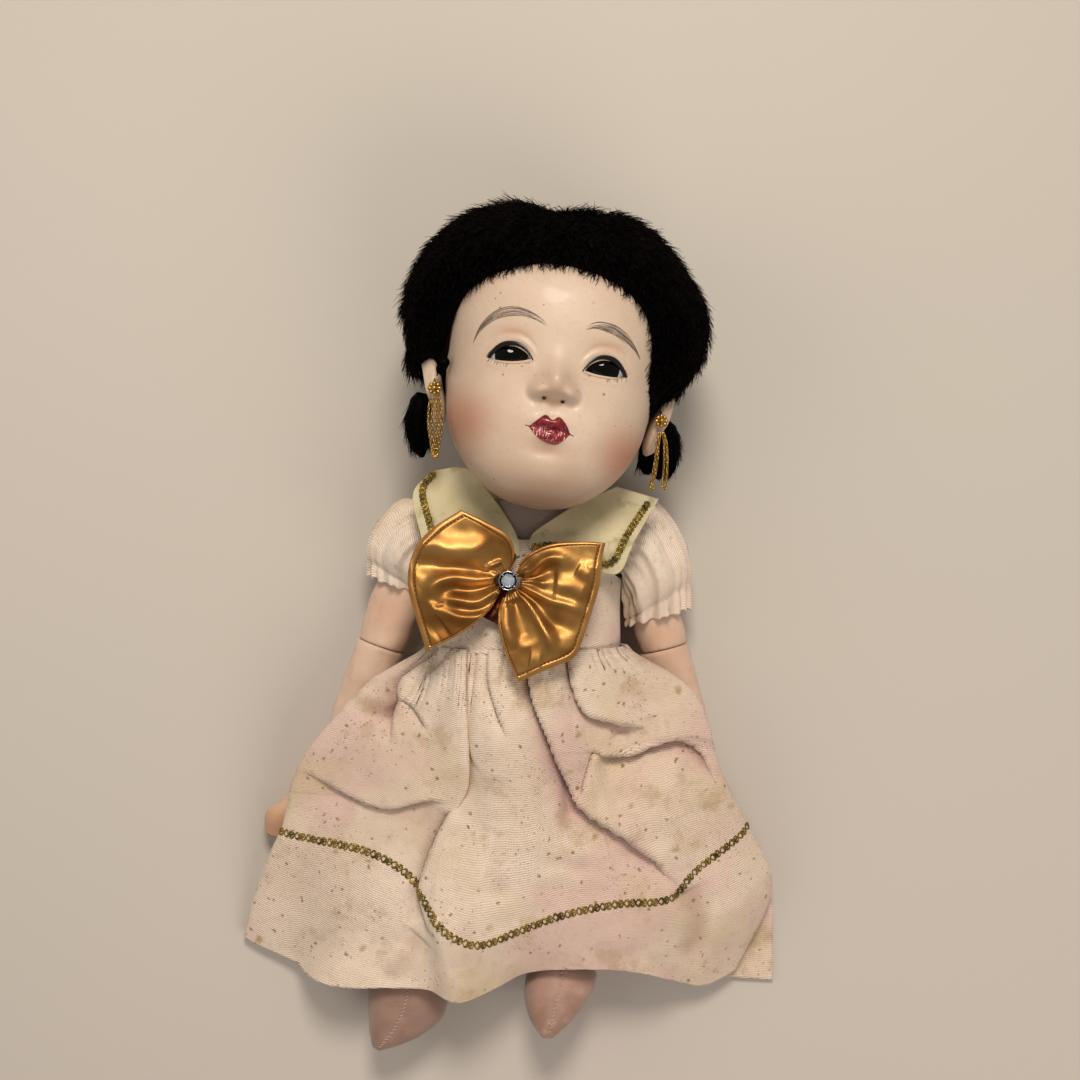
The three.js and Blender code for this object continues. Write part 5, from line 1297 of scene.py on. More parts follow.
BOW = {"at": (-5.3, 3.1, 48.6), "half": 30.0, "thick": 2.2, "puff": 3.4, "lift": 0.2}
BOW_LOOPS = {
    "right": (-1, [(0.02, 0.14), (0.06, 0.26), (0.01, 0.43), (-0.23, 0.58), (-0.46, 0.69), (-0.75, 0.5),
                   (-0.91, 0.31),
                   (-0.98, 0.05), (-0.96, -0.14), (-0.8, -0.68), (-0.51, -0.54), (-0.23, -0.33), (-0.09,
                           -0.1)]),
    "left": (1, [(-0.06, -0.22), (-0.1, -0.38), (-0.03, -0.69), (0.1, -0.99), (0.37, -0.87), (0.65, -0.74),
                 (0.72, -0.59), (0.82, -0.29), (0.89, -0.04), (0.92, 0.24), (0.95, 0.37), (0.72,
                         0.38), (0.42, 0.36),
                 (0.23, 0.28), (0.13, 0.2)]),
}


BOW_CORNERS = {"right": [4, 9], "left": [3, 10]}
# Folds of the bow in shares of its half width: path, height (below zero a hollow), half width in mm
BOW_FOLDS = {
    "right": [
        ([(-0.9, 0.3), (-0.74, 0.35), (-0.59, 0.3), (-0.43, 0.29), (-0.25, 0.32), (-0.07, 0.36)], 1.9, 2.6),
        ([(-0.95, 0.16), (-0.78, 0.16), (-0.6, 0.13), (-0.34, 0.1), (-0.08, 0.06)], -1.7, 1.9),
        ([(-0.06, 0.19), (-0.16, 0.15), (-0.27, 0.1)], 1.0, 0.8),
        ([(-0.07, 0.03), (-0.29, 0.02), (-0.54, 0.04), (-0.68, -0.01), (-0.77, -0.1), (-0.84, -0.24)], 1.7,
         1.5),
        ([(-0.08, -0.03), (-0.34, -0.09), (-0.56, -0.08), (-0.66, -0.11)], -1.5, 1.3),
        ([(-0.06, -0.06), (-0.2, -0.17), (-0.34, -0.22), (-0.52, -0.19), (-0.66, -0.15)], 1.7, 1.5),
        ([(-0.1, -0.13), (-0.26, -0.27), (-0.45, -0.27), (-0.62, -0.22)], -1.3, 1.2),
        ([(-0.7, -0.2), (-0.72, -0.26), (-0.6, -0.31), (-0.43, -0.35), (-0.27, -0.33), (-0.12, -0.2)], 1.3,
         1.3),
        ([(-0.62, -0.42), (-0.76, -0.52)], -0.8, 2.4),
    ],
    "left": [
        ([(0.1, 0.06), (0.22, 0.08), (0.34, 0.19), (0.47, 0.22), (0.58, 0.17), (0.64, 0.12)], 1.7, 1.4),
        ([(0.08, 0.03), (0.24, 0.02), (0.4, 0.1), (0.54, 0.08)], -1.5, 1.5),
        ([(0.1, 0.0), (0.31, -0.01), (0.38, -0.07)], 1.1, 1.0),
        ([(0.66, 0.12), (0.78, 0.07), (0.84, 0.2)], 1.0, 1.5),
        ([(0.44, -0.04), (0.62, -0.06), (0.8, -0.16)], 1.2, 2.4),
        ([(0.09, -0.03), (0.25, -0.12), (0.4, -0.19), (0.59, -0.24), (0.8, -0.34)], 1.6, 1.1),
        ([(0.08, -0.08), (0.25, -0.2), (0.38, -0.37), (0.56, -0.45), (0.7, -0.46)], -1.7, 1.9),
        ([(0.07, -0.1), (0.19, -0.2), (0.28, -0.33), (0.36, -0.48), (0.45, -0.64), (0.6, -0.71)], 1.7, 1.3),
        ([(0.04, -0.18), (0.12, -0.42), (0.2, -0.64)], -1.4, 2.4),
        ([(0.0, -0.22), (0.0, -0.44), (0.06, -0.68)], 1.0, 1.3),
        ([(0.2, -0.78), (0.34, -0.8)], 0.8, 2.0),
    ],
}


def satin_material(name, light, dark):
    s = Shade(name)
    rest = s.attribute("rest")
    across, along, _ = s.parts(rest)
    thread = s.math("SINE", s.math("MULTIPLY", s.math("ADD", across, s.math("MULTIPLY", along, 0.4)),
                                   2 * math.pi / 0.32))
    color = s.mix(s.level(s.noise(rest, 0.07, 2.0), 0.35, 0.7), rgb(light), rgb(dark))
    color = s.mix(s.level(thread, -0.6, 1.0, 0.0, 0.24), color, rgb(dark))
    hem = s.level(s.attribute("edge", "Fac"), 1.5, 1.95, 0.5, 0.0)
    color = s.mix(hem, color, rgb("e0a45e"))
    rough = s.level(s.noise(rest, 0.5, 3.0), 0.3, 0.75, 0.36, 0.46)
    pucker = s.math("MULTIPLY", s.noise(rest, 1.3, 2.0), hem)
    bumps = s.bump(s.math("ADD", s.math("MULTIPLY", thread, 0.1),
                          s.math("ADD", pucker,
                                 s.math("MULTIPLY", s.noise(rest, 0.45, 2.0), 0.3))), 0.35, 0.0003)
    return s.done(color, rough, bumps, Metallic=0.88, Specular_IOR_Level=0.6)


def bow_level(side, flat, edge_gap):
    """Height of a bow loop at places in shares of its half width, edge_gap millimetres in from its edge."""
    x, y = flat[..., 0], flat[..., 1]
    reach = np.hypot(x, y)
    z = BOW["thick"] + BOW["lift"] + BOW["puff"] * np.sin(np.pi * np.minimum(reach * 0.75, 1))
    for path, high, wide in BOW_FOLDS[side]:
        far, share, _, _, _ = path_places(x, y, path, 20)
        ends = smooth(share, -0.04, 0.12) * smooth(1 - share, -0.02, 0.3)
        near = 0.45 + 0.55 * np.minimum(reach / 0.45, 1)
        z = z + high * 1.05 * bell(far * BOW["half"], 1.4 * wide * near) * ends
    angle = np.arctan2(y, x)
    fine = 0.3 * np.cos(23 * angle + 1.0) + 0.25 * np.cos(14 * angle)
    z = z + fine * np.exp(-reach / 0.16) * np.minimum(reach * 6, 1)
    z = z + 0.16 * ripple(x * 30, y * 30, 23, 11, 2) * np.minimum(reach * 3, 1)
    return z - 0.3 * bell(edge_gap - 1.9, 0.35) - 0.5 * np.exp(-edge_gap / 0.5)


def bow_edge(side, u):
    """A loop's outline with its sharp corners kept."""
    way, outline = BOW_LOOPS[side]
    stops = [0, *BOW_CORNERS[side], len(outline) - 1]
    place = np.asarray(u) * (len(outline) - 1)
    edge = np.zeros((len(place), 2))
    for a, b in zip(stops, stops[1:]):
        here = (place >= a) & (place <= b)
        edge[here] = spline(np.array(outline[a : b + 1]), (place[here] - a) / (b - a))
    return way, edge


def bow_surface(side, u, v):
    way, edge = bow_edge(side, u)
    pivot = np.array([way * 0.055, 0.0])
    spokes = edge - pivot
    flat = spokes[None] * v[:, None, None] + pivot
    gap = (1 - v)[:, None] * np.linalg.norm(spokes, axis=1)[None] * BOW["half"]
    z = bow_level(side, flat, gap)
    return np.concatenate([flat * BOW["half"], z[..., None]], -1) + np.array(BOW["at"])


def add_bow():
    satin = satin_material("copper_satin_cloth", "c59452", "8c5a26")
    for side in BOW_LOOPS:
        u = np.linspace(0, 1, 330)
        v = np.concatenate([np.linspace(0.09, 0.9, 90), np.linspace(0.907, 1, 22)])
        points = bow_surface(side, u, v)
        up = grid_normals(points)[40, 150, 2] > 0
        gap = (1 - v)[:, None] * np.linalg.norm(points[-1, :, :2] - np.array(BOW["at"][:2]), axis=1)[None]
        obj = sheet_object(f"bow_{side}_satin", points, 0.6, under=1 if up else -1, extra={"edge": gap})
        put_on(obj, satin, "torso", f"bow_{side}_loop", slot="copper_satin")


def sleeve_surface(way, degrees, length):
    root_x, cuff_half = 29.2, 9.8
    shoulder = np.array([way * 34.7, 14.0, 20.0])
    turn = math.radians(degrees)
    down = np.array([way * math.sin(turn), -math.cos(turn), 0.0])
    out = np.array([way * math.cos(turn), math.sin(turn), 0.0])
    cuff = shoulder + down * length
    puffed = shoulder + out * 18.0
    outer = [np.array([way * root_x, 26.3, 20.0]), shoulder + np.array([way * 3.9, 13.0, 0.0]),
             puffed + (cuff - puffed) * 0.25, cuff + out * cuff_half]
    inner = [np.array([way * root_x, 1.7, 20.0]), cuff - out * cuff_half]
    v = np.linspace(0, 1, 90)
    u = np.linspace(0, 1, 360, endpoint=False)
    high, low = spline(np.array(outer), v), spline(np.array(inner), v)
    middle = (high + low) / 2
    turns = 2 * np.pi * u * way
    tall = lerp(lerp(12.3, cuff_half, v), 15.0, np.sin(np.pi * np.minimum(v * 1.1, 1)))
    sink = v * length * (20.0 - 13.5) / 34.0
    pleat = 1.0 * np.cos(9 * turns + 1.1 * np.sin(2 * turns))[None] * np.ones_like(v)[:, None]
    top = np.exp(-((v / 0.5) ** 2))[:, None]
    cuff_near = np.exp(-(((1 - v) / 0.3) ** 2))[:, None]
    count = np.cos(24 * turns + 1.2 * np.sin(5 * turns))[None]
    ruffle = np.cos(15 * turns + 1.5 * np.sin(4 * turns + 0.6) + 0.8 * np.sin(9 * turns))[None]
    uneven = 1 + 0.45 * np.sin(3 * turns + 0.7)[None] + 0.3 * np.sin(7 * turns + 2.0)[None]
    gather = 0.8 * count * uneven * top + 0.6 * ruffle * uneven * cuff_near
    elastic = -0.8 * np.exp(-(((v - 0.86) / 0.035) ** 2))[:, None]
    soft = 0.5 * ripple(turns[None] * 9, v[:, None] * 30, 55, 12, 2) * np.sin(np.pi * v)[:, None]
    rise = pleat + gather + elastic + soft
    P = middle[:, None] + (high - middle)[:, None] * np.cos(turns)[None, :, None]
    P = P + out * (rise * 0.8 * np.cos(turns)[None])[..., None]
    P = P + down * (0.4 * ruffle * uneven * np.exp(-(((1 - v) / 0.1) ** 2))[:, None])[..., None]
    P[..., 2] += (tall[:, None] + rise) * np.sin(turns)[None] - sink[:, None]
    P[..., 0] = way * np.maximum(way * P[..., 0], root_x)
    P[..., 2] = np.maximum(P[..., 2], 0.3)
    return P


def add_sleeves(cotton):
    for side, way, degrees, length in (("right", -1, 19.5, 14.5), ("left", 1, 14.5, 24.0)):
        P = sleeve_surface(way, degrees, length)
        centre = P.mean((0, 1))
        normal = grid_normals(P, True)[35, 40]
        outwards = np.dot(normal, P[35, 40] - centre) > 0
        obj = sheet_object(f"{side}_sleeve_cloth", P, 0.5, closed=True, under=1 if outwards else -1)
        obj.data.materials.append(cotton)
        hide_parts(f"{side}_sleeve")
        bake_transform(obj)


# Outline of the hair as seen from the front, in the head's frame, about HAIR_MIDDLE
HAIR_MIDDLE = np.array([0.0, 5.0])
HAIR_OUTLINE = [
    (33.5, -9.5), (41.2, 0.2), (45.8, 12.5), (44.0, 24.0), (36.9, 35.0), (27.5, 44.0), (18.5, 48.6), (6.0,
            49.5),
    (-6.9, 47.8), (-17.5, 48.6), (-29.0, 45.0), (-37.5, 38.5), (-43.3, 30.0), (-47.8, 14.5), (-45.2, 2.5),
    (-44.2, -3.8), (-39.0, -9.5),
]


def hair_scale():
    """Ratio of the wanted outline to the wig's own one, by the way round from the middle."""
    turn, share = np.meshgrid(np.linspace(0, 2 * np.pi, 240), np.linspace(0.3, 0.999, 160))
    flat = wig_shape(turn, share)[..., :2].reshape(-1, 2) - HAIR_MIDDLE
    places = np.radians(np.linspace(-60, 240, 101))
    angle = np.mod(np.arctan2(flat[:, 1], flat[:, 0]) + np.pi / 2, 2 * np.pi) - np.pi / 2
    reach = np.linalg.norm(flat, axis=1)
    own = np.array([reach[np.abs(angle - a) < 0.04].max(initial=30.0) for a in places])
    curve = spline(np.array(HAIR_OUTLINE), np.linspace(0, 1, 300)) - HAIR_MIDDLE
    turned = np.mod(np.arctan2(curve[:, 1], curve[:, 0]) + np.pi / 2, 2 * np.pi) - np.pi / 2
    order = np.argsort(turned)
    wanted = np.interp(places, turned[order], np.linalg.norm(curve, axis=1)[order])
    return places, wanted / own


HAIR_SCALE = []


def wig_point(turn, share, grow=0.0):
    """The wig's outside, drawn in or out to the outline of the hair."""
    if not HAIR_SCALE:
        HAIR_SCALE.extend(hair_scale())
    P = wig_shape(turn, share, grow)
    flat = P[..., :2] - HAIR_MIDDLE
    angle = np.mod(np.arctan2(flat[..., 1], flat[..., 0]) + np.pi / 2, 2 * np.pi) - np.pi / 2
    scale = np.interp(angle, HAIR_SCALE[0], HAIR_SCALE[1])
    P[..., :2] = HAIR_MIDDLE + flat * scale[..., None]
    return P


def wig_shape(turn, share, grow=0.0):
    """The wig's rounded outside, in the head's frame; grow moves it out."""
    P = head_point(turn, share, 0.0, False)
    level = np.clip(P[..., 1] / (HEAD_SIZE[0] / 2), -1, 1)
    puff = lerp(14.0, 6.5, level**2) * (1 - 0.35 * np.maximum(-level, 0)) + grow
    P[..., 0] += np.sign(P[..., 0]) * puff * np.abs(np.cos(turn))
    P[..., 2] += (3.5 + grow) * np.sin(turn)
    P[..., 1] += level * (6.5 + grow)
    return P


HAIRLINE = [
    (-36.0, -6.0), (-33.0, -5.0), (-31.25, -2.56), (-30.57, 6.73), (-28.4, 14.07), (-23.42, 19.1), (-15.81,
            22.79),
    (-6.11, 25.23), (2.75, 24.88), (11.94, 22.85), (18.27, 19.57), (23.05, 14.9), (26.11, 7.45), (27.36,
            -2.24),
    (31.0, -11.0), (34.0, -12.0),
]


def hairline_share(turn):
    """Lowest place of the hair at each turn round the head, as a share of the head's height."""
    curve = spline(np.array(HAIRLINE), np.linspace(0, 1, 400))
    share = curve[:, 1] / HEAD_SIZE[0] + CHIN_SHARE
    wide = head_table(share)[0]
    c = np.clip(curve[:, 0] / (wide * HEAD_SIZE[1]), -1, 1)
    at = np.arccos(np.sign(c) * np.abs(c) ** (HEAD_POWER / 2))
    order = np.argsort(at)
    at, share = at[order], share[order]
    turn = np.mod(turn, 2 * np.pi)
    front = np.interp(turn, at, share)
    nape = CHIN_SHARE - 9.5 / HEAD_SIZE[0]
    side = np.where(np.cos(turn) > 0, CHIN_SHARE - 9.5 / HEAD_SIZE[0], CHIN_SHARE - 4.0 / HEAD_SIZE[0])
    behind = smooth(-np.sin(turn), 0.12, 0.32)
    low = side * (1 - behind) + nape * behind
    return np.where(np.sin(turn) > 0.02, front, low)


def add_wig_cap(hair):
    """The dark body of the wig under its loose hair."""
    turns = np.linspace(0, 2 * np.pi, 180, endpoint=False)
    edge = hairline_share(turns)
    v = np.linspace(0, 1, 60)[:, None]
    share = lerp(edge[None], 0.9985, v)
    inner = head_point(turns[None], share, 0.35, False)
    outer = wig_point(turns[None], share, -2.4)
    front = smooth(np.sin(turns), 0.12, 0.5)[None]
    full = lerp(1.0, smooth(v, -0.05, 0.3), front)
    full = np.maximum(full, 0.12)
    outer = lerp(inner, outer, full[..., None])
    lumps = ripple(outer[..., 0] + outer[..., 2] * 0.6, outer[..., 1] + outer[..., 2] * 0.3, 71, 13)
    outer *= 1 + 0.012 * lumps[..., None] * full[..., None]
    pile = Pile()
    shell = to_world(np.concatenate([outer, inner[::-1]]))
    shell[..., 2] = np.maximum(shell[..., 2], 0.15)
    pile.add(shell, closed=True)
    put_on(pile.done("wig_cap"), hair, "head", "wig", slot="black_hair")


def strands(name, roots, ways, lengths, lifts, normals, radius, seed, hair, steps=5, curl=1.0, fall=None):
    """Many fine tapered hairs in one mesh. Roots, ways and normals are unit rows in the head's frame."""
    rng = np.random.default_rng(seed)
    count = len(roots)
    t = np.linspace(0, 1, steps)[None, :, None]
    side = np.cross(ways, normals)
    a, b = rng.normal(0, 0.22 * curl, (2, count, 1, 1))
    phase = rng.uniform(0, 2 * np.pi, (count, 1, 1))
    length = lengths[:, None, None]
    path = roots[:, None] + ways[:, None] * t * length
    path = path + normals[:, None] * (lifts[:, None, None] * np.sin(t * np.pi * 0.55) * length)
    path = path + side[:, None] * (a * t**1.5 * length + 0.35 * curl * np.sin(phase + t * 5.0) * t)
    path = path + normals[:, None] * (b * t**2 * length * 0.5)
    if fall is not None:
        path = path + fall[:, None] * (t**2) * length
    path = to_world(path)
    path[..., 2] = np.maximum(path[..., 2], 0.35)
    way = np.gradient(path, axis=1)
    way /= np.maximum(np.linalg.norm(way, axis=-1, keepdims=True), 1e-9)
    first = np.cross(way, rng.normal(0, 1, (count, 1, 3)))
    first /= np.maximum(np.linalg.norm(first, axis=-1, keepdims=True), 1e-9)
    second = np.cross(way, first)
    turn = 2 * np.pi * np.arange(3) / 3
    thin = radius * np.linspace(1, 0.3, steps)[None, :, None, None] * rng.uniform(0.7, 1.3, (count, 1, 1, 1))
    ring = first[:, :, None] * np.cos(turn)[None, None, :, None] + second[:, :, None] * np.sin(turn)[None,
            None, :, None]
    points = (path[:, :, None] + ring * thin).reshape(-1, 3)
    j, i = np.meshgrid(np.arange(steps - 1), np.arange(3), indexing="ij")
    p, q = (j * 3 + i).ravel(), (j * 3 + (i + 1) % 3).ravel()
    tris = np.concatenate([np.stack([p, q, q + 3], -1), np.stack([p, q + 3, p + 3], -1)])
    top = (steps - 1) * 3
    tris = np.concatenate([tris, [[0, 2, 1], [top, top + 1, top + 2]]])
    faces = (tris[None] + (np.arange(count) * steps * 3)[:, None, None]).reshape(-1, 3)
    along = np.broadcast_to(np.linspace(0, 1, steps)[None, :, None], (count, steps, 3)).ravel()
    tone = np.repeat(rng.uniform(0, 1, count), steps * 3)
    obj = new_object(name, points, faces, {"along": along, "tone": tone, "rest": points})
    return put_on(obj, hair, "head", slot="black_hair")


def wig_frame(turn, share, grow):
    """Point, way towards the hair's edge and outward way on the wig."""
    step = 0.004
    P = wig_point(turn, share, grow)
    down = wig_point(turn, share - step, grow) - wig_point(turn, share + step, grow)
    round_ = wig_point(turn + 0.01, share, grow) - wig_point(turn - 0.01, share, grow)
    way = down / np.maximum(np.linalg.norm(down, axis=-1, keepdims=True), 1e-9)
    normal = np.cross(way, round_)
    normal /= np.maximum(np.linalg.norm(normal, axis=-1, keepdims=True), 1e-9)
    middle = np.array([0.0, 0.0, -8.0])
    flip = np.sign(np.sum(normal * (P - middle), -1, keepdims=True))
    return P, way, normal * flip


def add_hair():
    """Coarse cropped hair: it leans away from the crown and ends in loose tips."""
    hair = black_hair_material("black_hair_fibre", True)
    add_wig_cap(hair)
    rng = np.random.default_rng(3)
    for batch in range(4):
        count = 8000
        # even cover of the wig: turns and shares drawn, then thinned by local area
        turn = rng.uniform(0, 2 * np.pi, count * 3)
        v = rng.uniform(0.0, 1.0, count * 3)
        edge = hairline_share(turn)
        share = lerp(edge, 0.995, v)
        a = wig_point(turn + 0.01, share) - wig_point(turn - 0.01, share)
        b = wig_point(turn, share + 0.004) - wig_point(turn, share - 0.004)
        area = np.linalg.norm(np.cross(a, b), axis=-1) * (0.995 - edge)
        keep = rng.uniform(0, 1, count * 3) < area / np.percentile(area, 97)
        seen = wig_point(turn, share)[..., 2] > -30
        index = np.nonzero(keep & seen)[0][:count]
        turn, share, v = turn[index], share[index], v[index]
        P, way, normal = wig_frame(turn, share, -2.4)
        front = smooth(np.sin(turn), 0.12, 0.5)
        full = np.maximum(lerp(1.0, smooth(v, -0.05, 0.3), front), 0.12)
        scalp = head_point(turn, share, 0.35, False)
        roots = lerp(scalp, P, full[:, None]) - normal * 0.6
        sway = rng.normal(0, 0.35, (len(index), 3))
        tufts = np.stack([ripple(P[:, 0], P[:, 1], 90 + k, 9, 2) for k in range(3)], -1)
        way = way + sway + 0.45 * tufts
        way -= normal * np.sum(way * normal, -1, keepdims=True)
        way /= np.linalg.norm(way, axis=-1, keepdims=True)
        lift = rng.uniform(0.04, 0.34, len(index))
        length = rng.uniform(4.0, 8.0, len(index))
        near = smooth(v, 0.0, 0.22)
        over = front * (1 - near)
        length = length * lerp(1.0, 0.55, over)
        lift = lift * lerp(1.0, 0.6, over)
        strands(f"hair_{batch + 1}", roots, way, length, lift, normal, 0.16, 500 + batch, hair)


def lock_hair(name, points, radius, count, hair, node, seed):
    """A loose lock: a dark core along a path with hairs round it."""
    rng = np.random.default_rng(seed)
    points = np.array(points, float)
    t = np.linspace(0, 1, 26)
    path = spline(points, t)
    size = lerp(radius, radius * 0.62, t**2) * np.minimum(1, 0.6 + t * 3) * np.minimum(1,
            0.35 + (1 - t) * 5) * 0.85
    core = rings_object(f"{name}_core", to_world(tube_points(path, size, 16)))
    put_on(core, hair, "head", *([node] if node else []), slot="black_hair")
    start = rng.uniform(0, 0.72, count)
    middle = spline(points, start)
    ahead = spline(points, np.minimum(start + 0.05, 1.0))
    way = ahead - middle
    way /= np.linalg.norm(way, axis=-1, keepdims=True)
    around = rng.uniform(0, 2 * np.pi, count)
    side = np.cross(way, np.array([0.0, 0.0, 1.0]))
    side /= np.linalg.norm(side, axis=-1, keepdims=True)
    normal = side * np.cos(around)[:, None] + np.cross(way, side) * np.sin(around)[:, None]
    reach = np.interp(start, t, size)
    roots = middle + normal * (reach * 0.9)[:, None]
    span = np.linalg.norm(points[-1] - points[0])
    length = rng.uniform(0.2, 0.36, count) * span
    way = way + rng.normal(0, 0.1, (count, 3))
    way /= np.linalg.norm(way, axis=-1, keepdims=True)
    strands(f"{name}_hairs", roots, way, length, rng.uniform(0.0, 0.05, count), normal, 0.13, seed + 1,
            hair, curl=0.35)


def add_locks():
    hair = bpy.data.materials["black_hair_fibre"]
    size = np.array([HEAD_SIZE[1], HEAD_SIZE[0], HEAD_SIZE[2]])
    right = [(-31.2, 59.3, 35.4), (-33.2, 50.2, 35.4), (-31.9, 40.2, 33.0)]
    left = [(41.2, 51.0, 32.0), (43.0, 42.0, 32.0), (39.6, 33.6, 31.0)]
    lock_hair("right_lock", to_head(right), 4.2, 900, hair, "right_nape_lock", 801)
    lock_hair("left_lock", to_head(left), 4.6, 900, hair, "left_nape_lock", 811)
    inner = [(37.6, 50.0, 30.5), (37.6, 42.0, 30.0), (36.4, 35.0, 30.0)]
    lock_hair("left_lock_inside", to_head(inner), 4.4, 500, hair, None, 815)
    ear = np.array([(-0.947, -0.042, 0.425), (-0.976, -0.07, 0.383), (-0.973, -0.095, 0.353)]) * size
    lock_hair("ear_lock", ear, 1.9, 320, hair, "right_ear_lock", 821)


# Earrings
def gold_material():
    s = Shade("worn_gold")
    rest = s.attribute("rest")
    color = s.mix(s.level(s.noise(rest, 0.9, 3.0), 0.4, 0.7), rgb("cfa858"), rgb("94702f"))
    rough = s.level(s.noise(rest, 1.5, 2.0), 0.3, 0.7, 0.22, 0.48)
    return s.done(color, rough, s.bump(s.noise(rest, 3.0, 2.0), 0.3, 0.0001), Metallic=1.0)


def chain_links(pile, path, length, wide, wire):
    """Oval links, each turned a quarter from the last, along a path."""
    steps = np.concatenate([[0], np.cumsum(np.linalg.norm(np.diff(path, axis=0), axis=1))])
    pitch = length - 2.4 * wire
    count = max(int(steps[-1] / pitch), 2)
    turn = np.linspace(0, 2 * np.pi, 16, endpoint=False)
    for k in range(count):
        at = (k + 0.5) / count * steps[-1]
        middle = np.array([np.interp(at, steps, path[:, c]) for c in range(3)])
        ahead = np.array([np.interp(min(at + 0.3, steps[-1]), steps, path[:, c]) for c in range(3)])
        behind = np.array([np.interp(max(at - 0.3, 0), steps, path[:, c]) for c in range(3)])
        way = (ahead - behind) / np.linalg.norm(ahead - behind)
        side = np.cross(way, [0.0, 0.0, 1.0])
        side /= np.linalg.norm(side)
        up = np.cross(way, side)
        lean = math.radians(45 if k % 2 else -45)
        flat = side * math.cos(lean) + up * math.sin(lean)
        ring = middle + way * (np.sin(turn) * (length / 2 - wire))[:,
                None] + flat * (np.cos(turn) * (wide / 2 - wire))[:, None]
        normal = np.cross(way, flat)
        out = ring - middle
        out /= np.linalg.norm(out, axis=1, keepdims=True)
        section = 2 * np.pi * np.arange(6) / 6
        rings = ring[:, None] + wire * (
            out[:, None] * np.cos(section)[None, :, None] + normal[None, None] * np.sin(section)[None, :,
                    None]
        )
        pile.add(rings, closed=True)


def bead(pile, centre, radius, sides=14):
    lean = np.linspace(0, np.pi, 9)[1:-1][:, None]
    turn = np.linspace(0, 2 * np.pi, sides, endpoint=False)[None, :]
    ball = np.stack([np.sin(lean) * np.cos(turn), np.sin(lean) * np.sin(turn), np.cos(lean) + 0 * turn], -1)
    pile.add(np.asarray(centre) + radius * ball)


def add_earrings():
    gold = gold_material()
    half_gap, drop, fall = 1.6, 19.5, 3.5
    for side, way in (("right", -1), ("left", 1)):
        centre = to_world(np.array([[way * 33.6, -12.0, 3.0 + 6.0 + 0.3 + 2.3]]))[0]
        pile = Pile()
        bead(pile, centre, 1.35)
        for k in range(8):
            angle = 2 * np.pi * k / 8
            bead(pile, centre + 1.45 * np.array([math.cos(angle), math.sin(angle), 0.1]), 0.62, 10)
        bead(pile, centre + np.array([0.0, 0.0, 1.45]), 0.7, 12)
        hook = []
        for lean in np.linspace(-0.5, 2.6, 16):
            ring_middle = centre + np.array([0.0, 1.2 + 1.6 * math.sin(lean),
                                             -1.0 + 1.6 * math.cos(lean) - 1.0])
            hook.append(ring_middle)
        pile.add(tube_points(np.array(hook), 0.3, 8))
        put_on(pile.done(f"{side}_earring_cluster"), gold, f"{side}_earring", f"{side}_earring_cap",
               slot="gold_metal")
        end = (2.3 + 0.3) / drop
        start = end + 0.7 / drop
        if way < 0:
            runs = [[(-0.8, end), (-1.2, 0.5), (-0.4, 0.97)], [(-0.3, end), (-0.55, 0.5), (-0.15, 1.0)],
                    [(0.2, end), (0.15, 0.5), (0.05, 1.0)], [(0.6, end), (0.7, 0.5), (0.2, 1.0)],
                    [(0.9, end), (1.3, 0.5), (0.45, 0.97)]]
        else:
            runs = [[(-0.4, start), (-0.8, 0.3), (-1.1, 0.6), (-1.9, 0.98)],
                    [(-0.1, start), (-0.4, 0.3), (-0.7, 0.6), (-1.4, 1.0)],
                    [(0.2, start), (0.5, 0.3), (0.6, 0.6), (0.3, 0.97)], [(0.4, start), (0.9, 0.3),
                            (1.2, 0.6), (0.9, 1.0)]]
        pile = Pile()
        for run in runs:
            line = spline(np.array([(a * half_gap, -d * drop, -d * fall) for a, d in run]) + centre,
                          np.linspace(0, 1, 60))
            chain_links(pile, line, 1.5, 0.95, 0.17)
            bead(pile, line[-1] + np.array([0, -0.3, 0]), 0.5, 10)
        put_on(pile.done(f"{side}_earring_links"), gold, f"{side}_earring", f"{side}_earring_chain",
               slot="gold_metal")


# Body, arms, legs and feet
def limb_material():
    s = Shade("stuffed_cotton")
    rest = s.attribute("rest")
    weave = s.math("MULTIPLY", s.math("SINE", s.math("MULTIPLY", s.parts(rest)[0], 14.0)),
                   s.math("SINE", s.math("MULTIPLY", s.parts(rest)[1], 14.0)))
    base = s.mix(s.level(s.noise(rest, 0.04, 3.0), 0.35, 0.65), rgb("d6b79e"), rgb("caa489"))
    base = s.mix(s.level(s.noise(rest, 0.14, 4.0, 0.6), 0.5, 0.78, 0.0, 0.6), base, rgb("b98768"))
    low = s.level(s.parts(rest)[1], -78.0, -60.0)
    base = s.mix(low, s.mix(0.7, base, rgb("b97d52")), base)
    bumps = s.bump(s.math("ADD", s.math("MULTIPLY", weave, 0.4), s.noise(rest, 0.7, 4.0)), 0.4, 0.0004)
    return s.done(base, 0.82, bumps, Sheen_Weight=0.15)


def bootee_material():
    s = Shade("bootee_sateen")
    rest = s.attribute("rest")
    thread = s.math("SINE", s.math("MULTIPLY", s.parts(rest)[1], 16.0))
    base = s.mix(s.level(s.noise(rest, 0.07, 3.0), 0.35, 0.65), rgb("a5806e"), rgb("8f6b5a"))
    base = s.mix(s.level(s.noise(rest, 0.2, 4.0), 0.55, 0.8, 0.0, 0.6), base, rgb("b99884"))
    # Painted shadow: the bootee on the minus-x side is darker, as if in the skirt's shadow.
    base = s.mix(s.level(s.parts(rest)[0], -22.0, 0.0, 0.42, 0.0), base, rgb("6b5142"))
    bumps = s.bump(s.math("ADD", s.math("MULTIPLY", thread, 0.25), s.noise(rest, 0.6, 4.0)), 0.35, 0.0005)
    return s.done(base, 0.4, bumps, Sheen_Weight=0.3, Specular_IOR_Level=0.55)


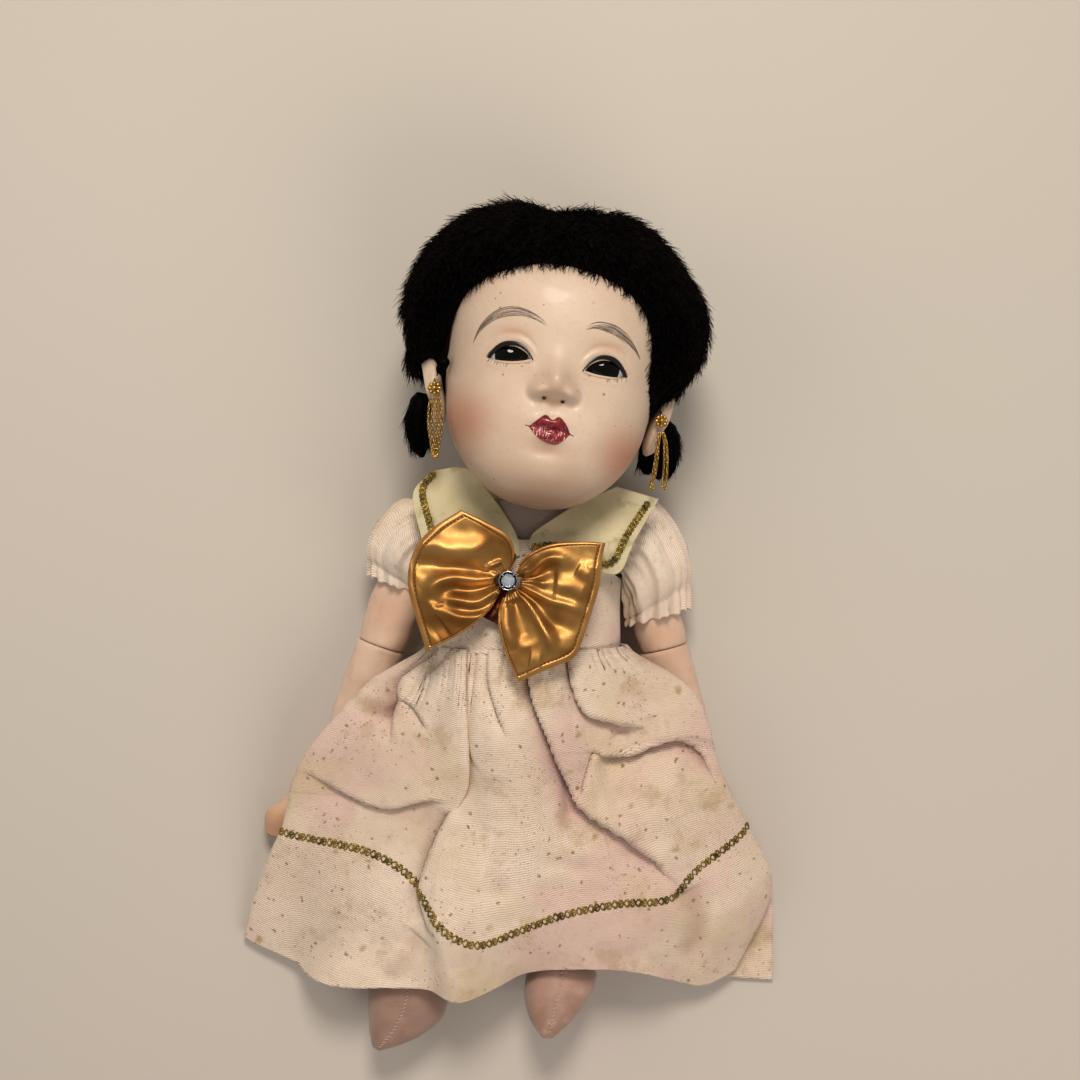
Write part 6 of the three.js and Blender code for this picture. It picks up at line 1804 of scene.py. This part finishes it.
def limb_rings(stations, round_start, around=40, steps=60, pinch_start=0.0, pinch_end=0.0, seed=0):
    """Rings of a stuffed cloth limb, soft lumps in it, drawn in at sewn ends."""
    stations = np.array(stations, float)
    t = np.linspace(0, 1, steps)
    index = t * (len(stations) - 1)
    low = np.minimum(index.astype(int), len(stations) - 2)
    w = (index - low)[:, None]
    line = stations[low] * (1 - w) + stations[low + 1] * w
    line = lerp(line, spline(stations, t), 0.8)
    rows = []
    if round_start:
        x, y, z, wide, high = stations[0]
        for k in range(1, 14):
            lean = np.pi / 2 * k / 14
            rows.append([x, y + wide * math.cos(lean), z, wide * math.sin(lean), high * math.sin(lean)])
    rows = np.array(rows + [list(r) for r in line])
    length = np.abs(rows[:, 1] - rows[0, 1])
    from_end = length[-1] - length
    tuck = 1 - pinch_start * np.exp(-length / 1.0) - pinch_end * np.exp(-from_end / 1.0)
    turn = np.linspace(0, 2 * np.pi, around, endpoint=False)[None]
    lump = 0.34 * ripple(turn * 6 + 0 * rows[:, :1], rows[:, 1:2] + 0 * turn, 60 + seed, 17, 2)
    near = pinch_start * np.exp(-length / 3.0) + pinch_end * np.exp(-from_end / 3.0)
    lump = lump + 2.2 * near[:, None] * np.cos(11 * turn + seed)
    x = rows[:, :1] + (rows[:, 3:4] * tuck[:, None] + lump) * np.cos(turn)
    z = rows[:, 2:3] + (rows[:, 4:5] * tuck[:, None] + lump) * np.sin(turn)
    return np.stack([x, rows[:, 1:2] + 0 * turn, z], -1)


def placed(points, at, degrees):
    turn = math.radians(degrees)
    out = points.copy()
    out[..., 0] = points[..., 0] * math.cos(turn) - points[..., 1] * math.sin(turn) + at[0]
    out[..., 1] = points[..., 0] * math.sin(turn) + points[..., 1] * math.cos(turn) + at[1]
    out[..., 2] = points[..., 2] + (at[2] if len(at) > 2 else 0)
    return out


SHOULDER = (34.7, 14.0)


def add_limbs():
    cloth = limb_material()
    for side, way, degrees, bend in (("right", -1, 19.5, 14.0), ("left", 1, 14.5, 3.0)):
        at = (way * SHOULDER[0], SHOULDER[1])
        upper = [[0, 0, 20.0, 7.6, 7.6], [0, -17.0, 16.75, 7.6, 7.6], [0, -34.0, 13.5, 7.6, 7.6]]
        rings = limb_rings(upper, True, pinch_end=0.05, seed=1)
        rings[..., 2] = np.maximum(rings[..., 2], 0.3)
        obj = rings_object(f"{side}_upper_arm_cloth", placed(rings, at, way * degrees))
        put_on(obj, cloth, f"{side}_arm", f"{side}_upper_arm", slot="limb_cloth")
        b = way * bend
        fore = [
            [0, -34.3, 13.5, 7.6, 7.6], [b * 0.03, -54.0, 10.85, 7.5, 7.2], [b * 0.06, -72.0, 8.3, 6.1, 6.1],
            [b * 0.16, -82.0, 7.1, 6.1, 5.6], [b * 0.5, -90.0, 7, 5.9, 5.0], [b * 0.86, -97.5, 7, 5.2, 3.8],
            [b * 0.88, -103.4, 7, 2.6, 1.8],
        ]
        rings = limb_rings(fore, False, pinch_start=0.05, steps=90, seed=2)
        obj = rings_object(f"{side}_forearm_cloth", placed(rings, at, way * degrees))
        put_on(obj, cloth, f"{side}_arm", f"{side}_forearm", slot="limb_cloth")
    pelvis = table([(0, 0.95, 0.94), (0.3, 1, 1), (0.65, 0.98, 0.98), (0.88, 0.86, 0.86), (1, 0.62, 0.62)])
    share = np.linspace(0, 1, 40)[:, None]
    turn = np.linspace(0, 2 * np.pi, 72, endpoint=False)[None]
    wide, high = pelvis(share)
    x, z = rounded(turn, wide * 25.0, high * 15.5, 2.4)
    rings = np.stack(np.broadcast_arrays(x, -30.6 - share * 21.0, np.maximum(17.0 + z, 1.5)), -1)
    obj = rings_object("pelvis_cloth", rings)
    put_on(obj, cloth, "lower_body", "pelvis", slot="limb_cloth")
    share = np.linspace(0, 1, 70)[:, None]
    rings = trunk_point(turn, -30.0 + 60.5 * share, 0, 2.6)
    rings[..., 2] -= 2.8 * smooth(-rings[..., 1], 12.0, 18.0) * smooth(rings[..., 2], 24.0, 40.0)
    obj = rings_object("torso_cloth", rings)
    cut(obj, rings_object("bore", plug_rings(8.25, 20.0, 33.0)))
    put_on(obj, cloth, "torso", "torso_body", slot="limb_cloth")
    s = Shade("neck_wood_grain")
    rest = s.attribute("rest")
    grain = s.noise(rest, 0.8, 3.0, 0.6, 0.5, (1.0, 0.15, 1.0))
    color = s.mix(grain, rgb("b98f63"), rgb("8d6540"))
    obj = rings_object("neck_plug_wood", plug_rings(8.0, 30.8, 46.0))
    put_on(obj, s.done(color, 0.6, s.bump(grain, 0.3, 0.0002)), "torso", "neck_plug", slot="neck_wood")


def plug_rings(radius, low, high):
    turn = np.linspace(0, 2 * np.pi, 48, endpoint=False)
    rows = np.linspace(low, high, 12)
    x, z = 5.5 + radius * np.cos(turn), 29 + radius * np.sin(turn)
    return np.array([np.stack([x, np.full(48, y), z], -1) for y in rows])


# Bootee: half width, length and half height, and its sections as shares of them from the ankle to the toe
BOOTEE_HALF, BOOTEE_LONG, BOOTEE_HIGH = 12.6, 32.5, 9.6
BOOTEES = {
    "right": [(0.0, 0.0, 0.73, 1.3, 0.95), (0.18, 0.08, 0.87, 1.3, 1.0), (0.37, 0.22, 1.0, 1.3, 1.0),
              (0.55, 0.29, 0.94, 1.35, 0.96), (0.74, 0.26, 0.7, 1.46, 0.83), (0.89, 0.16, 0.41, 1.67, 0.62),
              (1.0, 0.08, 0.12, 1.82, 0.2)],
    "left": [(0.0, 0.0, 0.73, 1.3, 0.95), (0.12, -0.04, 0.87, 1.4, 1.0), (0.33, 0.1, 0.76, 1.75, 0.94),
             (0.5, 0.2, 0.48, 2.2, 0.7), (0.63, 0.26, 0.14, 2.55, 0.25)],
}


def add_feet():
    cloth = limb_material()
    satin = bootee_material()
    s = Shade("seam_thread")
    thread = s.done(s.mix(s.noise(s.attribute("rest"), 2.0), rgb("b08a72"), rgb("cfae95")), 0.8)
    for side, way in (("right", -1), ("left", 1)):
        degrees = LEG_TURN[side][0]
        at = (way * HIP[0], HIP[1])
        stations = [[0, 0, 13.0, 11.0, 11.0], [0, -27.5, 12.75, 10.0, 10.0], [0, -55.0, 12.5, 8.6, 8.6]]
        rings = limb_rings(stations, True, pinch_end=0.08, seed=4)
        obj = rings_object(f"{side}_leg_cloth", placed(rings, at, way * degrees))
        put_on(obj, cloth, f"{side}_leg", f"{side}_leg", slot="limb_cloth")
        foot = [
            [-way * sideways * BOOTEE_HALF, -55.3 - down * BOOTEE_LONG, up * BOOTEE_HIGH,
             wide * BOOTEE_HALF, high * BOOTEE_HIGH]
            for down, sideways, wide, up, high in BOOTEES[side]
        ]
        rings = limb_rings(foot, False, around=64, steps=80, pinch_start=0.06, seed=5)
        top = 16
        seam = bell(np.arange(64) - top, 1.1)[None, :, None]
        middle = rings.mean(1, keepdims=True)
        rings = rings - (rings - middle) * seam * 0.035
        welt = bell(np.minimum(np.abs(np.arange(64) - 0), 64 - np.arange(64)),
                    1.0) + bell(np.arange(64) - 32, 1.0)
        rings = rings + (rings - middle) * welt[None, :, None] * 0.03
        world = placed(rings, at, way * degrees)
        obj = rings_object(f"{side}_bootee_satin", world)
        put_on(obj, satin, f"{side}_leg", f"{side}_bootee", slot="bootee_cloth")
        line = world[3:-3, top] + np.array([0, 0, 0.12])
        pile = Pile()
        stitches(pile, line, 1.25, 0.85, 0.16, 0.45)
        put_on(pile.done(f"{side}_bootee_stitches"), thread, f"{side}_leg", slot="bootee_cloth")


def stitches(pile, path, pitch, length, radius, slant=0.0, up=(0.0, 0.0, 1.0)):
    """Short thread stitches along a path; slant sets them across it."""
    steps = np.concatenate([[0], np.cumsum(np.linalg.norm(np.diff(path, axis=0), axis=1))])
    count = max(int(steps[-1] / pitch), 1)
    for k in range(count):
        ends = []
        for at in ((k + 0.5) * pitch - length / 2, (k + 0.5) * pitch + length / 2):
            ends.append(np.array([np.interp(at, steps, path[:, c]) for c in range(3)]))
        a, b = ends
        if slant:
            side = np.cross(b - a, up)
            side /= max(np.linalg.norm(side), 1e-9)
            a, b = a - side * slant, b + side * slant
        t = np.linspace(0, 1, 5)[:, None]
        line = a * (1 - t) + b * t + np.asarray(up) * (radius * 1.2 * np.sin(np.pi * t) - radius * 0.5)
        pile.add(tube_points(line, radius * (0.55 + 0.45 * np.sin(np.pi * t[:, 0])), 6))


# Bow and fastenings
RIBBON_TURN = -28


def add_bow_parts():
    satin = satin_material("brown_ribbon_satin", "6f3b1c", "4a2410")
    u = np.linspace(-0.5, 0.5, 40)[None]
    v = np.linspace(0, 1, 60)[:, None]
    x = u * 7.2 * (0.75 + 0.3 * v)
    y = -v * 13.0
    z = 0.35 + 0.25 * np.sin(u * 9) + 0.3 * ripple(x, y, 77, 8) + 0 * v
    P = np.stack(np.broadcast_arrays(x, y, z), -1)
    Q = placed(P, (BOW["at"][0], BOW["at"][1], 0.0), RIBBON_TURN)
    Q[..., 2] += BOW["at"][2] + 0.2
    up = grid_normals(Q)[30, 20, 2] > 0
    far = np.full(Q.shape[:2], 9.0)
    obj = sheet_object("bow_under_ribbon_satin", Q, 0.5, under=1 if up else -1, extra={"edge": far})
    put_on(obj, satin, "torso", "bow_under_ribbon", slot="brown_ribbon")
    s = Shade("copper_thread")
    thread = s.done(s.mix(s.noise(s.attribute("rest"), 2.0), rgb("4f2b10"), rgb("7c4818")), 0.6)
    pile = Pile()
    for side, (way, _) in BOW_LOOPS.items():
        u = np.linspace(0.09, 0.91, 260)
        spokes = bow_edge(side, u)[1] - np.array([way * 0.055, 0.0])
        inset = 1 - 1.9 / (np.linalg.norm(spokes, axis=1) * BOW["half"])
        flat = spokes * inset[:, None] + np.array([way * 0.055, 0.0])
        z = bow_level(side, flat, np.full(len(u), 1.9))
        line = np.concatenate([flat * BOW["half"], z[:, None]],
                              -1) + np.array(BOW["at"]) + np.array([0, 0, 0.1])
        stitches(pile, line, 1.2, 0.85, 0.13)
    put_on(pile.done("bow_hem_stitches"), thread, "torso", slot="copper_satin")

    silver = Shade("cup_silver")
    rest = silver.attribute("rest")
    tone = silver.noise(rest, 1.2, 2.0)
    plated = silver.done(silver.mix(tone, rgb("c2c3c6"), rgb("8c8d92")), 0.22, Metallic=1.0)
    cx, cy = BOW["at"][0], BOW["at"][1]
    cup_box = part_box("rhinestone_cup")
    low, high = cup_box[0][2] / MM, cup_box[1][2] / MM
    radius = (cup_box[1][0] - cup_box[0][0]) / MM / 2
    cx = (cup_box[1][0] + cup_box[0][0]) / MM / 2
    cy = (cup_box[1][1] + cup_box[0][1]) / MM / 2
    profile = [(0.02, 0.0), (0.8, 0.0), (0.97, 0.12), (1.0, 0.3), (1.0, 0.88), (0.96, 1.0), (0.86, 1.0),
               (0.84, 0.86), (0.84, 0.55),
               (0.02, 0.5)]
    lean = np.linspace(0, 2 * np.pi, 72, endpoint=False)
    rings = []
    for r, h in profile:
        ripple_edge = 1 + 0.018 * np.cos(12 * lean) * (h > 0.8)
        rings.append(np.stack([cx + r * radius * ripple_edge * np.cos(lean),
                               cy + r * radius * ripple_edge * np.sin(lean),
                               np.full(72, lerp(low, high, h))], -1))
    obj = rings_object("stone_cup_shell", np.array(rings))
    put_on(obj, plated, "torso", "rhinestone_cup", slot="plated_metal")
    pile = Pile()
    for k in range(4):
        angle = math.pi / 4 + k * math.pi / 2
        bead(pile, (cx + 0.83 * radius * math.cos(angle), cy + 0.83 * radius * math.sin(angle), high + 0.1),
             0.34, 10)
    put_on(pile.done("stone_claws"), plated, "torso", slot="plated_metal")

    stone_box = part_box("rhinestone")
    low, high = stone_box[0][2] / MM, stone_box[1][2] / MM
    radius = (stone_box[1][0] - stone_box[0][0]) / MM / 2
    rows = [(0.05, low, 0.0), (0.95, lerp(low, high, 0.36), 0.0), (0.95, lerp(low, high, 0.44), 0.5),
            (0.8, lerp(low, high, 0.74), 0.0), (0.55, high, 0.5)]
    rings = []
    for r, z, shift in rows:
        lean = 2 * np.pi * (np.arange(8) + shift) / 8
        rings.append(np.stack([cx + r * radius * np.cos(lean), cy + r * radius * np.sin(lean),
                               np.full(8, z)], -1))
    obj = rings_object("cut_stone", np.array(rings))
    for face in obj.data.polygons:
        face.use_smooth = False
    s = Shade("foiled_glass")
    rest = s.attribute("rest")
    tint = s.mix(s.noise(rest, 0.9, 2.0), rgb("dfe4ea"), rgb("9aa4ae"))
    put_on(obj, s.done(tint, 0.05, Metallic=0.6, Coat_Weight=1.0, Coat_Roughness=0.02), "torso",
           "rhinestone", slot="clear_stone")


def add_studs():
    s = Shade("stud_metal")
    rest = s.attribute("rest")
    tone = s.noise(rest, 1.0, 3.0)
    metal = s.done(s.mix(tone, rgb("a5a29b"), rgb("6b675f")), 0.35, Metallic=1.0)
    for name in ("upper_back_stud", "lower_back_stud"):
        low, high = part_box(name)
        size = [(b - a) / MM for a, b in zip(low, high)]
        centre = np.array([(a + b) / 2 / MM for a, b in zip(low, high)])
        axis = int(np.argmin(size))
        radius, thick = max(size) / 2, min(size)
        lean = np.linspace(0, 2 * np.pi, 48, endpoint=False)
        rings = []
        for r, h in ((0.03, -0.5), (0.9, -0.5), (1.0, -0.3), (1.0, 0.25), (0.9, 0.42), (0.7, 0.34),
                     (0.45, 0.3), (0.4, 0.5), (0.03, 0.5)):
            a, b = r * radius * np.cos(lean), r * radius * np.sin(lean)
            c = np.full(48, -h * thick)
            order = [None, None, None]
            others = [k for k in range(3) if k != axis]
            order[others[0]], order[others[1]], order[axis] = a, b, c
            rings.append(np.stack(order, -1) + centre)
        put_on(rings_object(f"{name}_cap", np.array(rings)), metal, "torso", name, slot="plated_metal")


def add_dress_seams():
    s = Shade("dress_thread")
    thread = s.done(s.mix(s.noise(s.attribute("rest"), 2.0), rgb("c9ad92"), rgb("e2cdb5")), 0.8)
    pile = Pile()
    u = np.linspace(0.02, 0.98, 500)
    rows = skirt_surface(u, np.array([0.968, 0.972, 0.976]))
    normal = grid_normals(rows)[1]
    normal *= np.sign(normal[:, 2:3] + 1e-6)
    stitches(pile, rows[1] + normal * 0.05, 1.5, 1.0, 0.12, up=(0.0, 0.0, 1.0))
    obj = pile.done("hem_stitches")
    put_on(obj, thread, "lower_body", slot="dress_cloth")
    pile = Pile()
    for inset in (1.6, 3.2):
        end_x, end_y = FLAP_CORNER[0] - inset, FLAP_CORNER[1] + inset
        corner = [(end_x, -103.0, 1.55), (end_x, end_y, 1.55), (40.0, end_y, 1.55)]
        for a, b in zip(corner, corner[1:]):
            line = np.array(a) * (1 - np.linspace(0, 1, 40)[:, None]) + np.array(b) * np.linspace(0, 1,
                    40)[:, None]
            stitches(pile, line, 1.4, 0.95, 0.12)
    put_on(pile.done("flap_stitches"), thread, "lower_body", slot="dress_cloth")


def main():
    add_stage()
    add_head()
    add_eyes()
    add_face_paint()
    add_hair()
    add_locks()
    add_earrings()
    add_limbs()
    add_feet()
    cotton = add_skirt()
    braid = braid_material()
    add_skirt_braid(braid)
    add_bodice(cotton)
    add_collar(braid)
    add_bow()
    # Painted light: the sleeves get a lighter copy of the dress cotton so they look brightly lit, with fewer
    # stains and less pink tint.
    add_sleeves(dress_material("sleeve_cotton_painted_lighter", 12.0, 0.4, "f4e1cc", "e9d3bd", 0.35))
    add_bow_parts()
    add_studs()
    add_dress_seams()


main()
